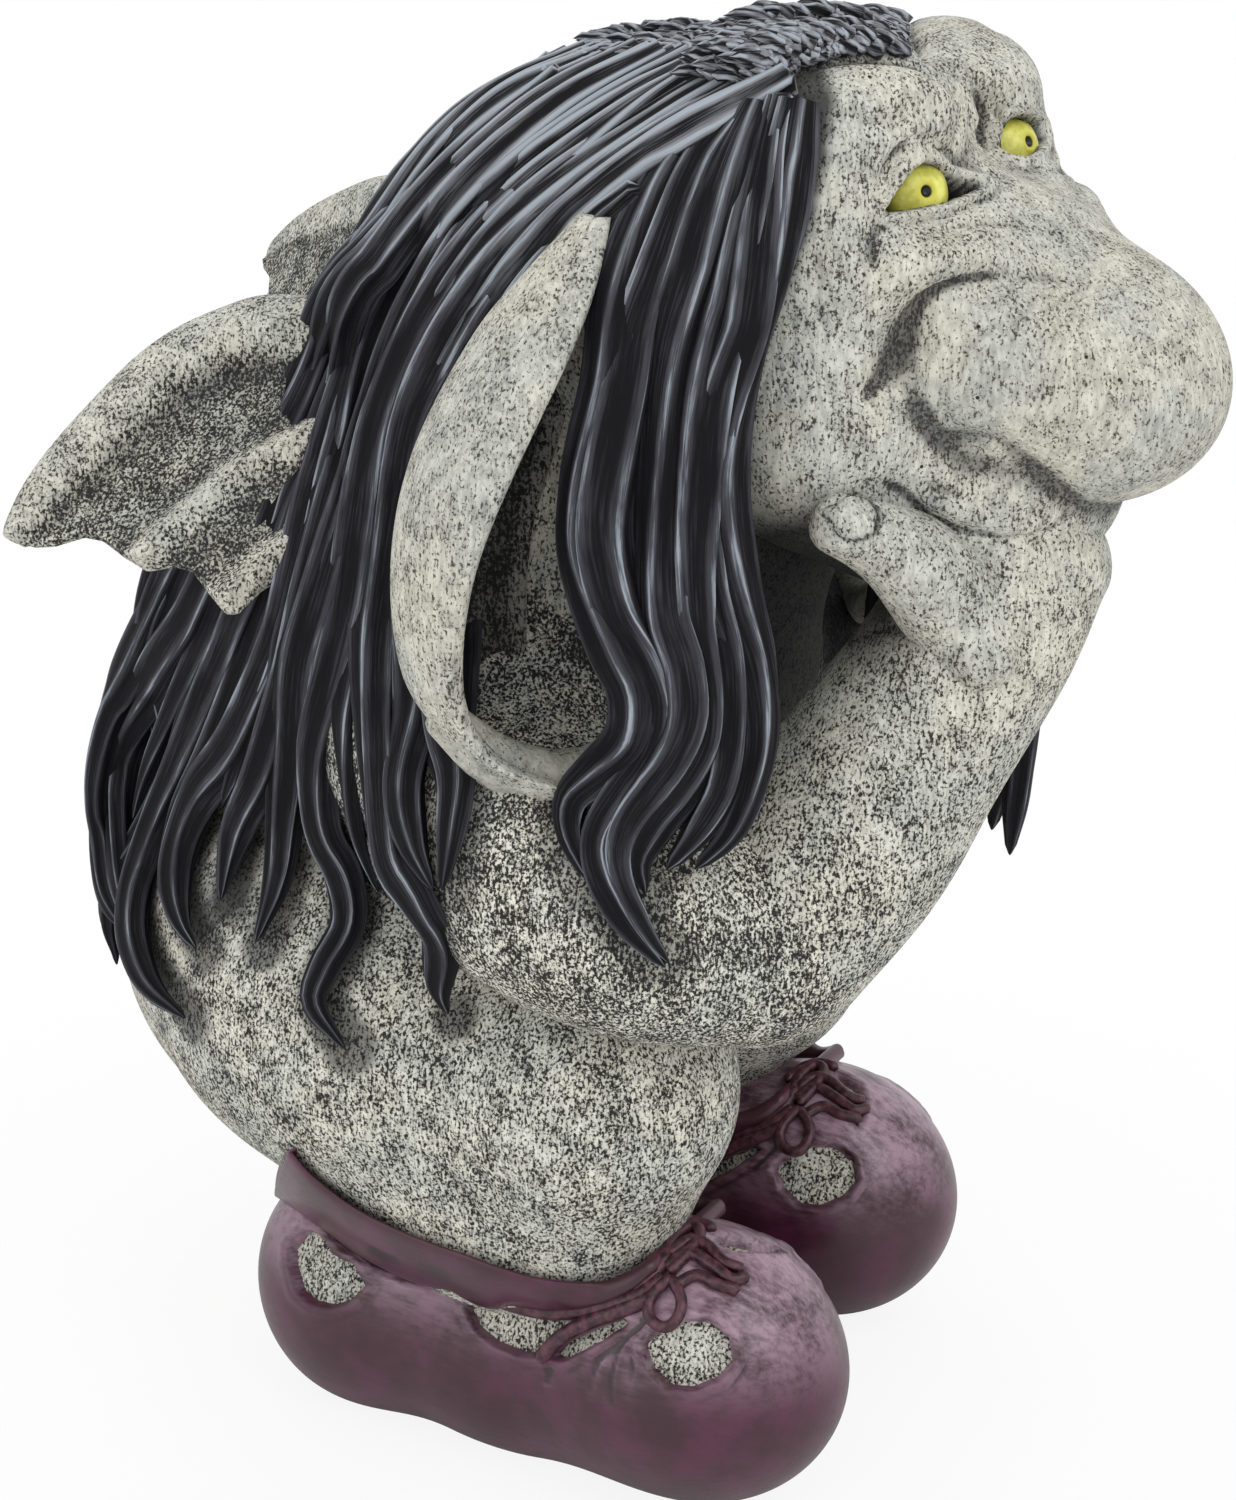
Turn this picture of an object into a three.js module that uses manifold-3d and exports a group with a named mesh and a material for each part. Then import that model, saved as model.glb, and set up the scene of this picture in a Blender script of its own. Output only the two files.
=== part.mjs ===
// Garden troll statue: a crouching figure of stone resin, cast in pieces that plug into one another.
// Millimetres, +Z up. The figure faces -Y, so its right side is -X. The ground is Z = 0.
import * as THREE from "three";
import { mergeVertices } from "three/addons/utils/BufferGeometryUtils.js";
import Module from "manifold-3d";

const wasm = await Module();
wasm.setup();

// Joints between castings
const BOND_GAP = 0.3; // glue gap left between any two castings
const DOWEL_R = 4; // steel dowels in the neck and the ankles
const DOWEL_END_GAP = 1; // air left past each end of a dowel
const NECK_DOWEL_LENGTH = 60;
const ANKLE_DOWEL_LENGTH = 44;
const TENON_R = 6; // round tenons cast on the wings and the ears
const TENON_LENGTH = 34;

// Shoes
const SHOE_HALF_SPACING = 46; // from the middle of the figure to each shoe's centre line
const SHOE_WALL = 4.5;
const SHOE_FLOOR = 6;
const LEFT_STEP_BACK = 13; // the left leg stands this far behind the right one
const LACE_R = 2.2;
const LACE_LIFT = 0.6; // a lace's middle stands this share of its radius above the shoe

// Eyes, ears, wings and hair
const EYE_R = 8.5;
const EAR_WALL = 4;
const WING_THICKNESS = 5;
const WING_SAG = 1.5; // the skin of a wing hangs this far under the plane of its bones
const WING_RIB_R = 3.2;
const CAP_THICKNESS = 6.5; // hair cap over the skull
const LOCK_LIFT = 2.5; // centre of a lock above the skin
const LOCK_WIDTH = 10; // half-widths of a lock of the mane
const LOCK_DEPTH = 6;

// Facets, around and along
const HEAD_FACETS = [28, 19];
const FORM_FACETS = [22, 14];
const LEG_FACETS = [18, 12];
const LIMB_FACETS = [10, 8];
const LOCK_FACETS = [6, 8];
const START_TAPER = 0.5;
const MANE_FACETS = [4, 5];
const CORD_FACETS = [5, 5];
const ROUND_FACETS = 12;
const SMOOTHING = 0.12; // slivers left by a cut are closed up within this
const CLAY = 14; // reach of the soft blend between the blobs of one casting
const FARTHEST = 400; // no skin lies farther than this from its core
const REACH_ERROR = 0.01;
const END_ROUNDING = 0.7; // how far a limb's rounded end stands out, as a share of its depth
const END_RING = 0.6; // size of the ring in that rounding
const TIP_TAPER = 0.25; // width of a lock's tip, as a share of its width
const EAR_FACETS = [10, 11];
const BLOCK = 600; // side of a block that is larger than the figure

const v3 = (p) => new THREE.Vector3(...p);
const rad = THREE.MathUtils.degToRad;

// A blob is an ellipsoid: centre, half-sizes, and a pitch in degrees about X that lifts its back end.
const blob = (at, size, pitch = 0) => ({ at, size, pitch });

const TORSO = [
  blob([0, 56, 112], [82, 78, 64]),
  blob([0, 36, 192], [70, 84, 70]),
  blob([0, -6, 236], [50, 52, 46]),
];
const bothSides = ([x, y, z], size) => [blob([x, y, z], size), blob([-x, y, z], size)];
const BROWS = [blob([-27, -74, 328], [23, 21, 14.5]), blob([24, -71, 326], [21, 20, 14])];
const MUZZLE = blob([0, -96, 251], [30, 24, 14]);
const CHEEKS = bothSides([-36, -68, 264], [22, 25, 27]);
const EYE_BAGS = bothSides([-30, -87, 298], [17, 17, 11]);
const TEMPLES = bothSides([-43, -60, 306], [16, 26, 33]);
const SKULL = [
  blob([0, -25, 283], [58, 71, 52]),
  blob([0, -70, 276], [48, 40, 50]),
  blob([0, -88, 243], [36, 34, 22]),
  ...BROWS,
  MUZZLE,
  ...CHEEKS,
  ...EYE_BAGS,
  ...TEMPLES,
];
const NOSE = [
  blob([0, -112, 273], [31, 35.5, 28.5], 12),
  blob([0, -94, 295], [16, 18, 18]),
  ...bothSides([-23, -95, 279], [20, 25, 19]),
];
const FROWN = blob([6, -104, 325], [15, 18, 13]); // hollow between the brows
const HAUNCH = [
  blob([-SHOE_HALF_SPACING, 14, 100], [40, 66, 40]),
  blob([-SHOE_HALF_SPACING - 6, -23, 101], [32, 31, 36]),
  blob([-SHOE_HALF_SPACING - 2, 1, 66], [30, 43, 30]),
];
const LAST = [
  blob([-SHOE_HALF_SPACING, -48, 33], [32, 38, 34]),
  blob([-SHOE_HALF_SPACING, 0, 28], [28, 54, 32]),
  blob([-SHOE_HALF_SPACING, 45, 28], [27, 31, 33]),
];
const COLLAR = [blob([-SHOE_HALF_SPACING, 10, 96], [56, 66, 36])]; // air above the shoe's collar
const SHOULDERS = [-62, 62].map((x) => blob([x, -8, 172], [30, 34, 30])); // the hair lies over these
const TORSO_CORE = [0, 45, 150];
const SKULL_CORE = [0, -50, 286];
const NOSE_CORE = [0, -108, 276];
const HAUNCH_CORE = [-SHOE_HALF_SPACING - 2, -4, 92];
const LAST_CORE = [-SHOE_HALF_SPACING, -4, 30];

// Limbs run through stations of place and half-width, locks through places on the skin.
const UPPER_ARM = [
  [-50, 8, 178, 30],
  [-67, -16, 166, 31],
  [-62, -40, 154, 29],
  [-44, -60, 147, 27],
];
const FOREARM = [
  [-40, -61, 147, 27],
  [-30, -75, 168, 26.5],
  [-21.5, -86.5, 190, 24],
  [-13.5, -98.5, 214, 22.5],
  [-6, -99.5, 230, 25.5],
];
const THUMB = [
  [-14, -104, 228, 11],
  [-28, -97, 236, 10],
  [-36, -84, 243, 8],
];
const LEFT_UPPER_ARM = [
  [50, 8, 180, 30],
  [70, -4, 168, 30],
  [78, -8, 146, 27],
];
const LEFT_FOREARM = [
  [77, -10, 143, 26],
  [68, -22, 139, 21],
  [58, -32, 138, 19],
  [46, -40, 135, 16],
];
// Each lock of the right half of the mane, drawn in pixels of a picture from the crown to the tip.
const MANE = [
  [[570, 55], [402, 200], [300, 390], [195, 545], [141, 655], [103, 775], [127, 934]],
  [[590, 54], [415, 195], [312, 395], [224, 555], [166, 660], [124, 780], [131, 925]],
  [[610, 52], [428, 190], [332, 390], [258, 570], [205, 698], [146, 856], [184, 1017]],
  [[640, 50], [455, 190], [352, 395], [295, 580], [241, 731], [179, 852], [195, 947]],
  [[662, 52], [472, 192], [364, 400], [310, 590], [266, 758], [228, 862], [221, 898]],
  [[690, 55], [495, 195], [380, 400], [320, 590], [294, 734], [281, 859], [256, 941]],
  [[722, 60], [522, 200], [399, 400], [356, 602], [320, 749], [346, 890], [344, 1047]],
  [[760, 66], [560, 205], [425, 390], [380, 591], [384, 770], [440, 938], [447, 1013]],
  [[790, 76], [600, 210], [458, 380], [416, 600], [420, 700], [405, 785], [432, 888]],
  [[640, 190], [490, 380], [455, 500], [446, 620], [448, 727], [456, 777], [442, 888]],
];
// That picture is taken from the figure's right-hand front, looking down.
const VIEW_TURN = 60; // degrees from straight in front
const VIEW_RISE = 20;
const VIEW_TARGET = [0, 0, 165];
const VIEW_DISTANCE = 735;
const VIEW_FOCUS = 3000; // pixels
const VIEW_MIDDLE = [618, 750];
const VIEW_DEPTHS = [520, 960]; // the figure lies between these depths
const VIEW_STEP = 1;
const ARM_BED = [blob([-67, -16, 166], [31, 31, 31]), blob([-62, -40, 154], [29, 29, 29])];
// Locks down the middle of the back go by angle from straight back.
const MIDDLE_TURNS = [ // share of the angle, share of the sway, height
  [0.9, 0, 330], [0.85, 0, 300], [1, 0.3, 238], [1.1, 1, 195], [1.15, 0, 155], [1.2, -1, 124], [1.25, 1, 92],
];
const MIDDLE_LOCKS = 11;
const MIDDLE_SPREAD = 34;
const MIDDLE_SWAY = 2.5; // degrees
const MIDDLE_WAVE = 1.1; // radians from lock to lock
const MIDDLE_STEP = 9; // between the heights of neighbouring tips
const RIGHT_FRONT_LOCKS = [
  [
    [-50, -62, 322, 8], [-62, -58, 290, 10], [-60, -60, 250, 11],
    [-60, -64, 212, 12], [-58, -67, 188, 10], [-61, -62, 168, 4],
  ],
  [
    [-56, -52, 324, 8], [-67, -50, 290, 11], [-68, -49, 250, 12],
    [-70, -54, 212, 13], [-72, -57, 182, 11], [-77, -55, 152, 3],
  ],
  [
    [-60, -42, 318, 8], [-70, -42, 290, 10], [-73, -40, 255, 10],
    [-76, -43, 224, 11], [-79, -46, 200, 8], [-83, -41, 184, 3],
  ],
];
const LEFT_FRONT_LOCKS = [
  [
    [50, -62, 322, 8], [62, -60, 290, 10], [64, -68, 250, 11],
    [62, -78, 212, 12], [60, -82, 180, 11], [68, -77, 136, 3],
  ],
  [
    [56, -52, 324, 8], [67, -50, 290, 11], [70, -54, 250, 12],
    [70, -62, 214, 13], [72, -66, 184, 11], [77, -62, 156, 3],
  ],
  [
    [60, -42, 318, 8], [70, -42, 290, 10], [73, -40, 255, 10],
    [76, -43, 224, 11], [79, -46, 200, 8], [83, -41, 184, 3],
  ],
];

// Middle line of the figure, as heights and places front to back, from rump to crown.
const SPINE = [[60, 60], [120, 58], [190, 36], [240, 0], [285, -32], [330, -40]];

// The right ear is a scoop: at each station its middle, the radius of its hollow and the angle of its rim,
// in degrees in plan from +X. The crescent runs from the rim round the back to the root.
const EAR = [
  [-70, -37, 310, 5, 235],
  [-71, -34, 298, 13, 222],
  [-72, -30, 284, 20.5, 213],
  [-76, -24, 260, 26, 202],
  [-79, -18, 236, 24.5, 196],
  [-79, -17, 212, 22, 190],
  [-78, -21, 198, 17.5, 190],
  [-77, -25, 191, 14, 225],
  [-76, -28, 186, 10, 290],
  [-75, -30, 183, 5, 330],
];
const EAR_ROOT = 15;
const EAR_LOBE = [[-92, -10, 203, 4.5], [-86, -19, 193, 6], [-78, -27, 188, 6.5], [-69, -36, 192, 4]];
const EAR_TENON = [-66, -10, 274]; // outer end of the right ear's tenon

// A wing: root corner, direction to the tip and facing direction, then its outline in that plane.
const RIGHT_WING = { root: [-20, 64, 270], out: [-0.675, 0.571, -0.467], face: [-0.662, -0.19, 0.725] };
const LEFT_WING = { root: [18, 64, 276], out: [0.507, 0.857, -0.09], face: [0.722, -0.478, -0.499] };
const WING_LEAD = [[-16, 6], [12, -15], [35, -21], [61, -16], [85, -6], [95.5, 2.7]];
const WING_TRAIL = [[80, 13], [75, 24], [72.6, 29.7], [64, 37], [60, 54.7], [27, 46], [-16, 40]];
const WING_BONE = [[-8, 10, 9], [14, -5, 8.5], [36, -12, 8], [61, -8.5, 6.5], [90, 1.5, 3]]; // with half-widths
const WING_RIBS = [
  [[-10, 24], [37, 23], [70, 28.5]],
  [[-10, 37], [27, 42], [57, 50]],
];

const WING_TENON = [10, 12]; // outer end of a wing's tenon in its plane
const WING_TENON_AIM = [0, 20, 215]; // place inside the back that both tenons point to
const RIGHT_EYE = [-29.5, -86, 312];
const LEFT_EYE = [22.5, -84.5, 314];
const LID_OPENING = [11, 16, 8]; // half-sizes of the hollow under the brow in front of an eye
const LID_DEPTH = 17; // from the middle of the eye to the middle of that hollow
const NECK_DOWEL = [0, -16, 262]; // middle of the neck dowel
const NECK_AXIS = [0, -0.5, 0.86];
const ANKLE_DOWEL = [-SHOE_HALF_SPACING, -8, 46];
const HAIRLINE_Y = -58; // the hair cap covers the skull behind and above these
const HAIRLINE_Z = 268;
// Holes in each side of a shoe: place along it, height, radius, and degrees its axis turns towards the heel.
const SHOE_HOLES = [
  [40, 38, 10, 25],
  [-14, 42, 10, 0],
  [-58, 46, 10, -15],
];
// Laces on the instep: place along the shoe and degrees from straight up, over the outer side below zero.
const LACE_STRAPS = [
  [[-48, -48], [-50, -20], [-50, 12], [-48, 45]],
  [[-50, -48], [-58, -20], [-58, 12], [-52, 45]],
];
const BOW = [
  [[-48, -42], [-42, -50], [-38, -66], [-43, -72], [-48, -58], [-49, -42]],
  [[-49, -42], [-57, -50], [-63, -64], [-59, -72], [-53, -60], [-49, -44]],
];

// How far a point lies outside a blob, in millimetres.
function outsideBlob(p, { at, size, pitch }) {
  const q = p.clone().sub(v3(at)).applyAxisAngle(new THREE.Vector3(1, 0, 0), -rad(pitch)).divide(v3(size));
  const slope = q.clone().divide(v3(size)).length();
  const k = q.length();
  return slope < 1e-9 ? -Math.min(...size) : (k * (k - 1)) / slope;
}

// Smooth union of the blobs, as clay pressed together.
function outside(p, blobs) {
  return blobs
    .map((b) => outsideBlob(p, b))
    .reduce((a, b) => {
      const h = Math.max(CLAY - Math.abs(a - b), 0) / CLAY;
      return Math.min(a, b) - (h * h * CLAY) / 4;
    });
}

// Distance from a core point, along a direction, to the skin of the blobs grown by a margin.
function reach(core, along, blobs, grow) {
  let [near, far] = [0, FARTHEST];
  while (far - near > REACH_ERROR) {
    const mid = (near + far) / 2;
    if (outside(core.clone().addScaledVector(along, mid), blobs) > grow) far = mid;
    else near = mid;
  }
  return near;
}

// Closed three.js geometry to a solid that can be joined and cut.
function solid(geometry) {
  const bare = new THREE.BufferGeometry().setAttribute("position", geometry.getAttribute("position"));
  if (geometry.index) bare.setIndex(geometry.index);
  const g = mergeVertices(bare, 1e-4);
  const vertProperties = g.attributes.position.array;
  const made = (triVerts) => new wasm.Manifold(new wasm.Mesh({ numProp: 3, vertProperties, triVerts }));
  const body = made(new Uint32Array(g.index.array));
  return body.volume() > 0 ? body : made(new Uint32Array(g.index.array).reverse());
}

// The largest single body of a solid once its slivers are closed up, so that a cut leaves no loose crumbs.
function whole(body) {
  return body.simplify(SMOOTHING).decompose().sort((a, b) => b.volume() - a.volume())[0];
}

const join = (...bodies) => bodies.reduce((a, b) => a.add(b));
const cut = (body, ...tools) => whole(tools.reduce((a, b) => a.subtract(b), body));

// A casting whose whole skin is in sight of one core point: a sphere with its points moved out to the blobs.
function casting(core, blobs, facets, grow = 0) {
  const g = new THREE.SphereGeometry(1, ...facets).rotateX(Math.PI / 2);
  const place = g.getAttribute("position");
  const c = v3(core);
  for (let i = 0; i < place.count; i++) {
    const along = new THREE.Vector3().fromBufferAttribute(place, i).normalize();
    const p = c.clone().addScaledVector(along, reach(c, along, blobs, grow));
    place.setXYZ(i, p.x, p.y, p.z);
  }
  return solid(g);
}

// Closed skin over a list of rings of points, with a point at each end.
function skinOver(rings, first, last) {
  const n = rings[0].length;
  const points = [first, ...rings.flat(), last].flatMap((p) => p.toArray());
  const at = (r, i) => 1 + r * n + (i % n);
  const end = 1 + rings.length * n;
  const faces = [];
  for (let i = 0; i < n; i++) {
    faces.push(0, at(0, i + 1), at(0, i), end, at(rings.length - 1, i), at(rings.length - 1, i + 1));
    for (let r = 0; r + 1 < rings.length; r++) {
      faces.push(at(r, i), at(r, i + 1), at(r + 1, i), at(r, i + 1), at(r + 1, i + 1), at(r + 1, i));
    }
  }
  const g = new THREE.BufferGeometry().setAttribute("position", new THREE.Float32BufferAttribute(points, 3));
  return solid(g.setIndex(faces));
}

// A rounded limb or lock: an oval carried along a smooth curve. A station is [x, y, z, half-width].
// Its depth, towards the side away from the figure's axis, is a share of the half-width.
function limb(stations, [sides, steps], share = 1, grow = 0) {
  const curve = new THREE.CatmullRomCurve3(stations.map(([x, y, z]) => new THREE.Vector3(x, y, z)));
  const widths = stations.map((s) => s[3]);
  const rings = [];
  const ends = [];
  for (let i = 0; i <= steps; i++) {
    const u = (i / steps) * (widths.length - 1);
    const k = Math.min(Math.floor(u), widths.length - 2);
    const half = THREE.MathUtils.lerp(widths[k], widths[k + 1], THREE.MathUtils.smoothstep(u - k, 0, 1));
    const p = curve.getPoint(i / steps);
    const along = curve.getTangent(i / steps);
    const away = p.clone().sub(v3(axisAt(p.z)));
    const depth = away.addScaledVector(along, -away.dot(along)).normalize();
    const across = along.clone().cross(depth);
    const ring = (lift, size) =>
      Array.from({ length: sides }, (_, j) => {
        const a = (2 * Math.PI * j) / sides;
        return p
          .clone()
          .addScaledVector(along, lift)
          .addScaledVector(across, Math.cos(a) * (half * size + grow))
          .addScaledVector(depth, Math.sin(a) * (half * share * size + grow));
      });
    const round = half * share * END_ROUNDING;
    if (i === 0) {
      ends.push(p.clone().addScaledVector(along, -round - grow));
      rings.push(ring(-round * END_ROUNDING - grow, END_RING));
    }
    rings.push(ring(0, 1));
    if (i === steps) {
      rings.push(ring(round * END_ROUNDING + grow, END_RING));
      ends.push(p.clone().addScaledVector(along, round + grow));
    }
  }
  return skinOver(rings, ...ends);
}

// Point of the figure's middle line at a height.
function axisAt(z) {
  const above = SPINE.findIndex(([height]) => height > z);
  const k = above < 0 ? SPINE.length - 1 : Math.max(above, 1);
  const [[z0, y0], [z1, y1]] = [SPINE[k - 1], SPINE[k]];
  return [0, THREE.MathUtils.mapLinear(THREE.MathUtils.clamp(z, z0, z1), z0, z1, y0, y1), z];
}

const HAIR_BED = [...TORSO, ...SKULL, ...SHOULDERS, ...HAUNCH, ...ARM_BED]; // what the mane lies on

// A place above the skin of the body: angle from straight back towards the right, height and lift.
function onSkin(angle, z, lift) {
  const along = new THREE.Vector3(-Math.sin(rad(angle)), Math.cos(rad(angle)), 0);
  const core = v3(axisAt(z));
  return core.addScaledVector(along, reach(core, along, HAIR_BED, lift));
}

// Places above the skin at pixels of the picture. A ray that misses goes by its nearest pass.
function onPicture(pixels, lift) {
  const [turn, rise] = [rad(VIEW_TURN), rad(VIEW_RISE)];
  const toViewer = v3([-Math.sin(turn) * Math.cos(rise), -Math.cos(turn) * Math.cos(rise), Math.sin(rise)]);
  const right = v3([Math.cos(turn), -Math.sin(turn), 0]);
  const up = toViewer.clone().cross(right);
  const viewer = v3(VIEW_TARGET).addScaledVector(toViewer, VIEW_DISTANCE);
  const rays = pixels.map(([x, y]) =>
    toViewer
      .clone()
      .negate()
      .addScaledVector(right, (x - VIEW_MIDDLE[0]) / VIEW_FOCUS)
      .addScaledVector(up, (VIEW_MIDDLE[1] - y) / VIEW_FOCUS));
  return rays.map((ray) => {
    let best = { gap: Infinity };
    for (let depth = VIEW_DEPTHS[0]; depth < VIEW_DEPTHS[1] && best.gap > 0; depth += VIEW_STEP) {
      const gap = outside(viewer.clone().addScaledVector(ray, depth), HAIR_BED) - lift;
      if (gap < best.gap) best = { gap, depth };
    }
    return viewer.clone().addScaledVector(ray, best.depth);
  });
}

// A round bar from a point along a direction.
function bar(from, along, length, r) {
  const turn = new THREE.Quaternion().setFromUnitVectors(new THREE.Vector3(0, 1, 0), v3(along).normalize());
  const g = new THREE.CylinderGeometry(r, r, length, ROUND_FACETS).translate(0, length / 2, 0);
  return solid(g.applyQuaternion(turn).translate(...from));
}

// Everything above a height, as a large block.
const above = (z) => solid(new THREE.BoxGeometry(BLOCK, BLOCK, BLOCK).translate(0, 0, z + BLOCK / 2));

function ball([x, y, z], r) {
  return solid(new THREE.SphereGeometry(r, ROUND_FACETS, ROUND_FACETS - 2).translate(x, y, z));
}

// The ear: a crescent at each station from its top down, and the lobe that hooks forward under the hollow.
// Side is -1 for the right ear.
function earScoop(side, grow = 0) {
  const middles = new THREE.CatmullRomCurve3(EAR.map(([x, y, z]) => new THREE.Vector3(-side * x, y, z)));
  const arcs = new THREE.CatmullRomCurve3(EAR.map(([, , , r, rim]) => new THREE.Vector3(r, rim, 0)));
  const [arc, steps] = EAR_FACETS;
  const rings = [];
  for (let i = 0; i <= steps; i++) {
    const c = middles.getPoint(i / steps);
    const { x: r, y: rim } = arcs.getPoint(i / steps);
    const spread = THREE.MathUtils.radToDeg(grow / r);
    const edge = (j, size) => {
      const a = rad(THREE.MathUtils.lerp(rim + spread, EAR_ROOT - spread, j / (arc - 1)));
      return new THREE.Vector3(c.x - side * Math.cos(a) * size, c.y + Math.sin(a) * size, c.z);
    };
    const wall = Math.min(EAR_WALL, r * END_RING);
    const outer = Array.from({ length: arc }, (_, j) => edge(j, r + grow));
    const inner = Array.from({ length: arc }, (_, j) => edge(arc - 1 - j, r - wall - grow));
    rings.push([...outer, ...inner]);
  }
  const back = Math.floor(arc / 2);
  const tip = (ring, lift) => {
    const p = ring[back].clone().lerp(ring[arc + back], 0.5);
    return p.setZ(p.z + lift);
  };
  const scoop = skinOver(rings, tip(rings[0], EAR_WALL / 2 + grow), tip(rings.at(-1), -EAR_WALL / 2 - grow));
  return join(scoop, limb(EAR_LOBE.map(([x, ...rest]) => [-side * x, ...rest]), LOCK_FACETS, 1, grow));
}

function earTenon(side, grow = 0) {
  const [x, y, z] = EAR_TENON;
  return bar([-side * (x - grow), y, z], [-side, 0, 0], TENON_LENGTH + 2 * grow, TENON_R + grow);
}

// Turns a wing's flat coordinates, outwards and towards its trailing edge, into places on the figure.
function wingPlane({ root, out, face }) {
  const u = v3(out).normalize();
  const n = v3(face).addScaledVector(u, -v3(face).dot(u)).normalize();
  const w = n.clone().cross(u).multiplyScalar(Math.sign(-root[0]));
  return new THREE.Matrix4().makeBasis(u, w, n).setPosition(...root);
}

// A wing: a thin plate, a thick leading bone that arches over it, and ribs.
function wingSheet(pose, grow = 0) {
  const plane = wingPlane(pose);
  const place = ([a, b]) => new THREE.Vector3(a, b, 0).applyMatrix4(plane).toArray();
  const lead = new THREE.CatmullRomCurve3(WING_LEAD.map(([a, b]) => new THREE.Vector3(a, b, 0)));
  const edge = [...lead.getPoints(ROUND_FACETS).map(({ x, y }) => [x, y]), ...WING_TRAIL];
  const outline = new THREE.Shape(edge.map((p) => new THREE.Vector2(...p)));
  const depth = WING_THICKNESS + 2 * grow;
  const bevel = { bevelEnabled: grow > 0, bevelSize: grow, bevelThickness: grow / 10, bevelSegments: 1 };
  const plate = new THREE.ExtrudeGeometry(outline, { depth, ...bevel }).translate(0, 0, -depth / 2 - WING_SAG);
  const bone = limb(WING_BONE.map(([a, b, half]) => [...place([a, b]), half]), LOCK_FACETS, 1, grow);
  const ribs = WING_RIBS.map((rib) => limb(rib.map((p) => [...place(p), WING_RIB_R]), CORD_FACETS, 1, grow));
  return join(solid(plate.applyMatrix4(plane)), bone, ...ribs);
}

function wingTenon(pose, grow = 0) {
  const from = new THREE.Vector3(...WING_TENON, 0).applyMatrix4(wingPlane(pose));
  const along = v3(WING_TENON_AIM).sub(from).normalize();
  from.addScaledVector(along, -grow);
  return bar(from.toArray(), along.toArray(), TENON_LENGTH + 2 * grow, TENON_R + grow);
}

// One lock of the mane through places on the skin.
function maneLock(places) {
  const ends = [START_TAPER, ...places.slice(2).map(() => 1), TIP_TAPER];
  const half = (i) => LOCK_WIDTH * ends[i];
  return limb(places.map((p, i) => [...p.toArray(), half(i)]), MANE_FACETS, LOCK_DEPTH / LOCK_WIDTH);
}

// Places of a lock down the back, which sways a little and ends at its own height.
function middlePlaces(number) {
  const angle = MIDDLE_SPREAD * ((2 * number) / (MIDDLE_LOCKS - 1) - 1);
  const sway = MIDDLE_SWAY * Math.sin(MIDDLE_WAVE * number);
  const drop = (i) => (i === MIDDLE_TURNS.length - 1 ? MIDDLE_STEP * (number % 3) : 0);
  return MIDDLE_TURNS.map(([turn, swing, z], i) => onSkin(turn * angle + swing * sway, z + drop(i), LOCK_LIFT));
}

// A steel dowel about its middle, or with an end gap the hole that it sits in.
function dowel(middle, along, length, grow = 0, endGap = 0) {
  const full = length + 2 * endGap;
  const from = v3(middle).addScaledVector(v3(along).normalize(), -full / 2);
  return bar(from.toArray(), along, full, DOWEL_R + grow);
}

// A cord laid on the shoe through places along it and degrees from straight up.
function cord(path) {
  const stations = path.map(([y, turn]) => {
    const core = new THREE.Vector3(-SHOE_HALF_SPACING, y, LAST_CORE[2]);
    const along = new THREE.Vector3(Math.sin(rad(turn)), 0, Math.cos(rad(turn)));
    return [...core.addScaledVector(along, reach(core, along, LAST, LACE_R * LACE_LIFT)).toArray(), LACE_R];
  });
  return limb(stations, CORD_FACETS);
}

// Both legs are made for the right side, and the left ones are mirrored and stepped back.
const leftLeg = (body) => body.mirror([1, 0, 0]).translate([0, LEFT_STEP_BACK, 0]);
const mirrored = (body) => body.mirror([1, 0, 0]);
const grown = (make) => [make(0), make(BOND_GAP)];

// Full forms, each with a copy grown by the glue gap that cuts its neighbours.
const [torso, torsoCut] = grown((g) => casting(TORSO_CORE, TORSO, FORM_FACETS, g));
const [head, headCut] = grown((g) =>
  join(casting(SKULL_CORE, SKULL, HEAD_FACETS, g), casting(NOSE_CORE, NOSE, FORM_FACETS, g)));
const [leg, legCut] = grown((g) => casting(HAUNCH_CORE, HAUNCH, LEG_FACETS, g));
const [foot, footCut] = grown((g) =>
  casting(LAST_CORE, LAST, LEG_FACETS, g - SHOE_WALL).intersect(above(SHOE_FLOOR - g)));
const [upperArm, upperArmCut] = grown((g) => limb(UPPER_ARM, LIMB_FACETS, 1, g));
const [forearm, forearmCut] = grown((g) =>
  join(limb(FOREARM, LIMB_FACETS, 1, g), limb(THUMB, LOCK_FACETS, 1, g)));
const [leftUpperArm, leftUpperArmCut] = grown((g) => limb(LEFT_UPPER_ARM, LIMB_FACETS, 1, g));
const [leftForearm] = grown((g) => limb(LEFT_FOREARM, LIMB_FACETS, 1, g));
const [rightFrontHair, rightFrontHairCut] = grown((g) =>
  join(...RIGHT_FRONT_LOCKS.map((lock) => limb(lock, LOCK_FACETS, 1, g))));
const [leftFrontHair, leftFrontHairCut] = grown((g) =>
  join(...LEFT_FRONT_LOCKS.map((lock) => limb(lock, LOCK_FACETS, 1, g))));
const [rightEar, rightEarCut] = grown((g) => earScoop(-1, g));
const [rightEarPeg, rightEarPegCut] = grown((g) => earTenon(-1, g));
const [rightWing, rightWingCut] = grown((g) => wingSheet(RIGHT_WING, g));
const [rightWingPeg, rightWingPegCut] = grown((g) => wingTenon(RIGHT_WING, g));
const [leftWing, leftWingCut] = grown((g) => wingSheet(LEFT_WING, g));
const [leftWingPeg, leftWingPegCut] = grown((g) => wingTenon(LEFT_WING, g));
const frown = casting(FROWN.at, [FROWN], LIMB_FACETS);
const lids = ([x, y, z]) => {
  const at = [x, y - LID_DEPTH, z];
  return casting(at, [blob(at, LID_OPENING)], LIMB_FACETS);
};
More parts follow.
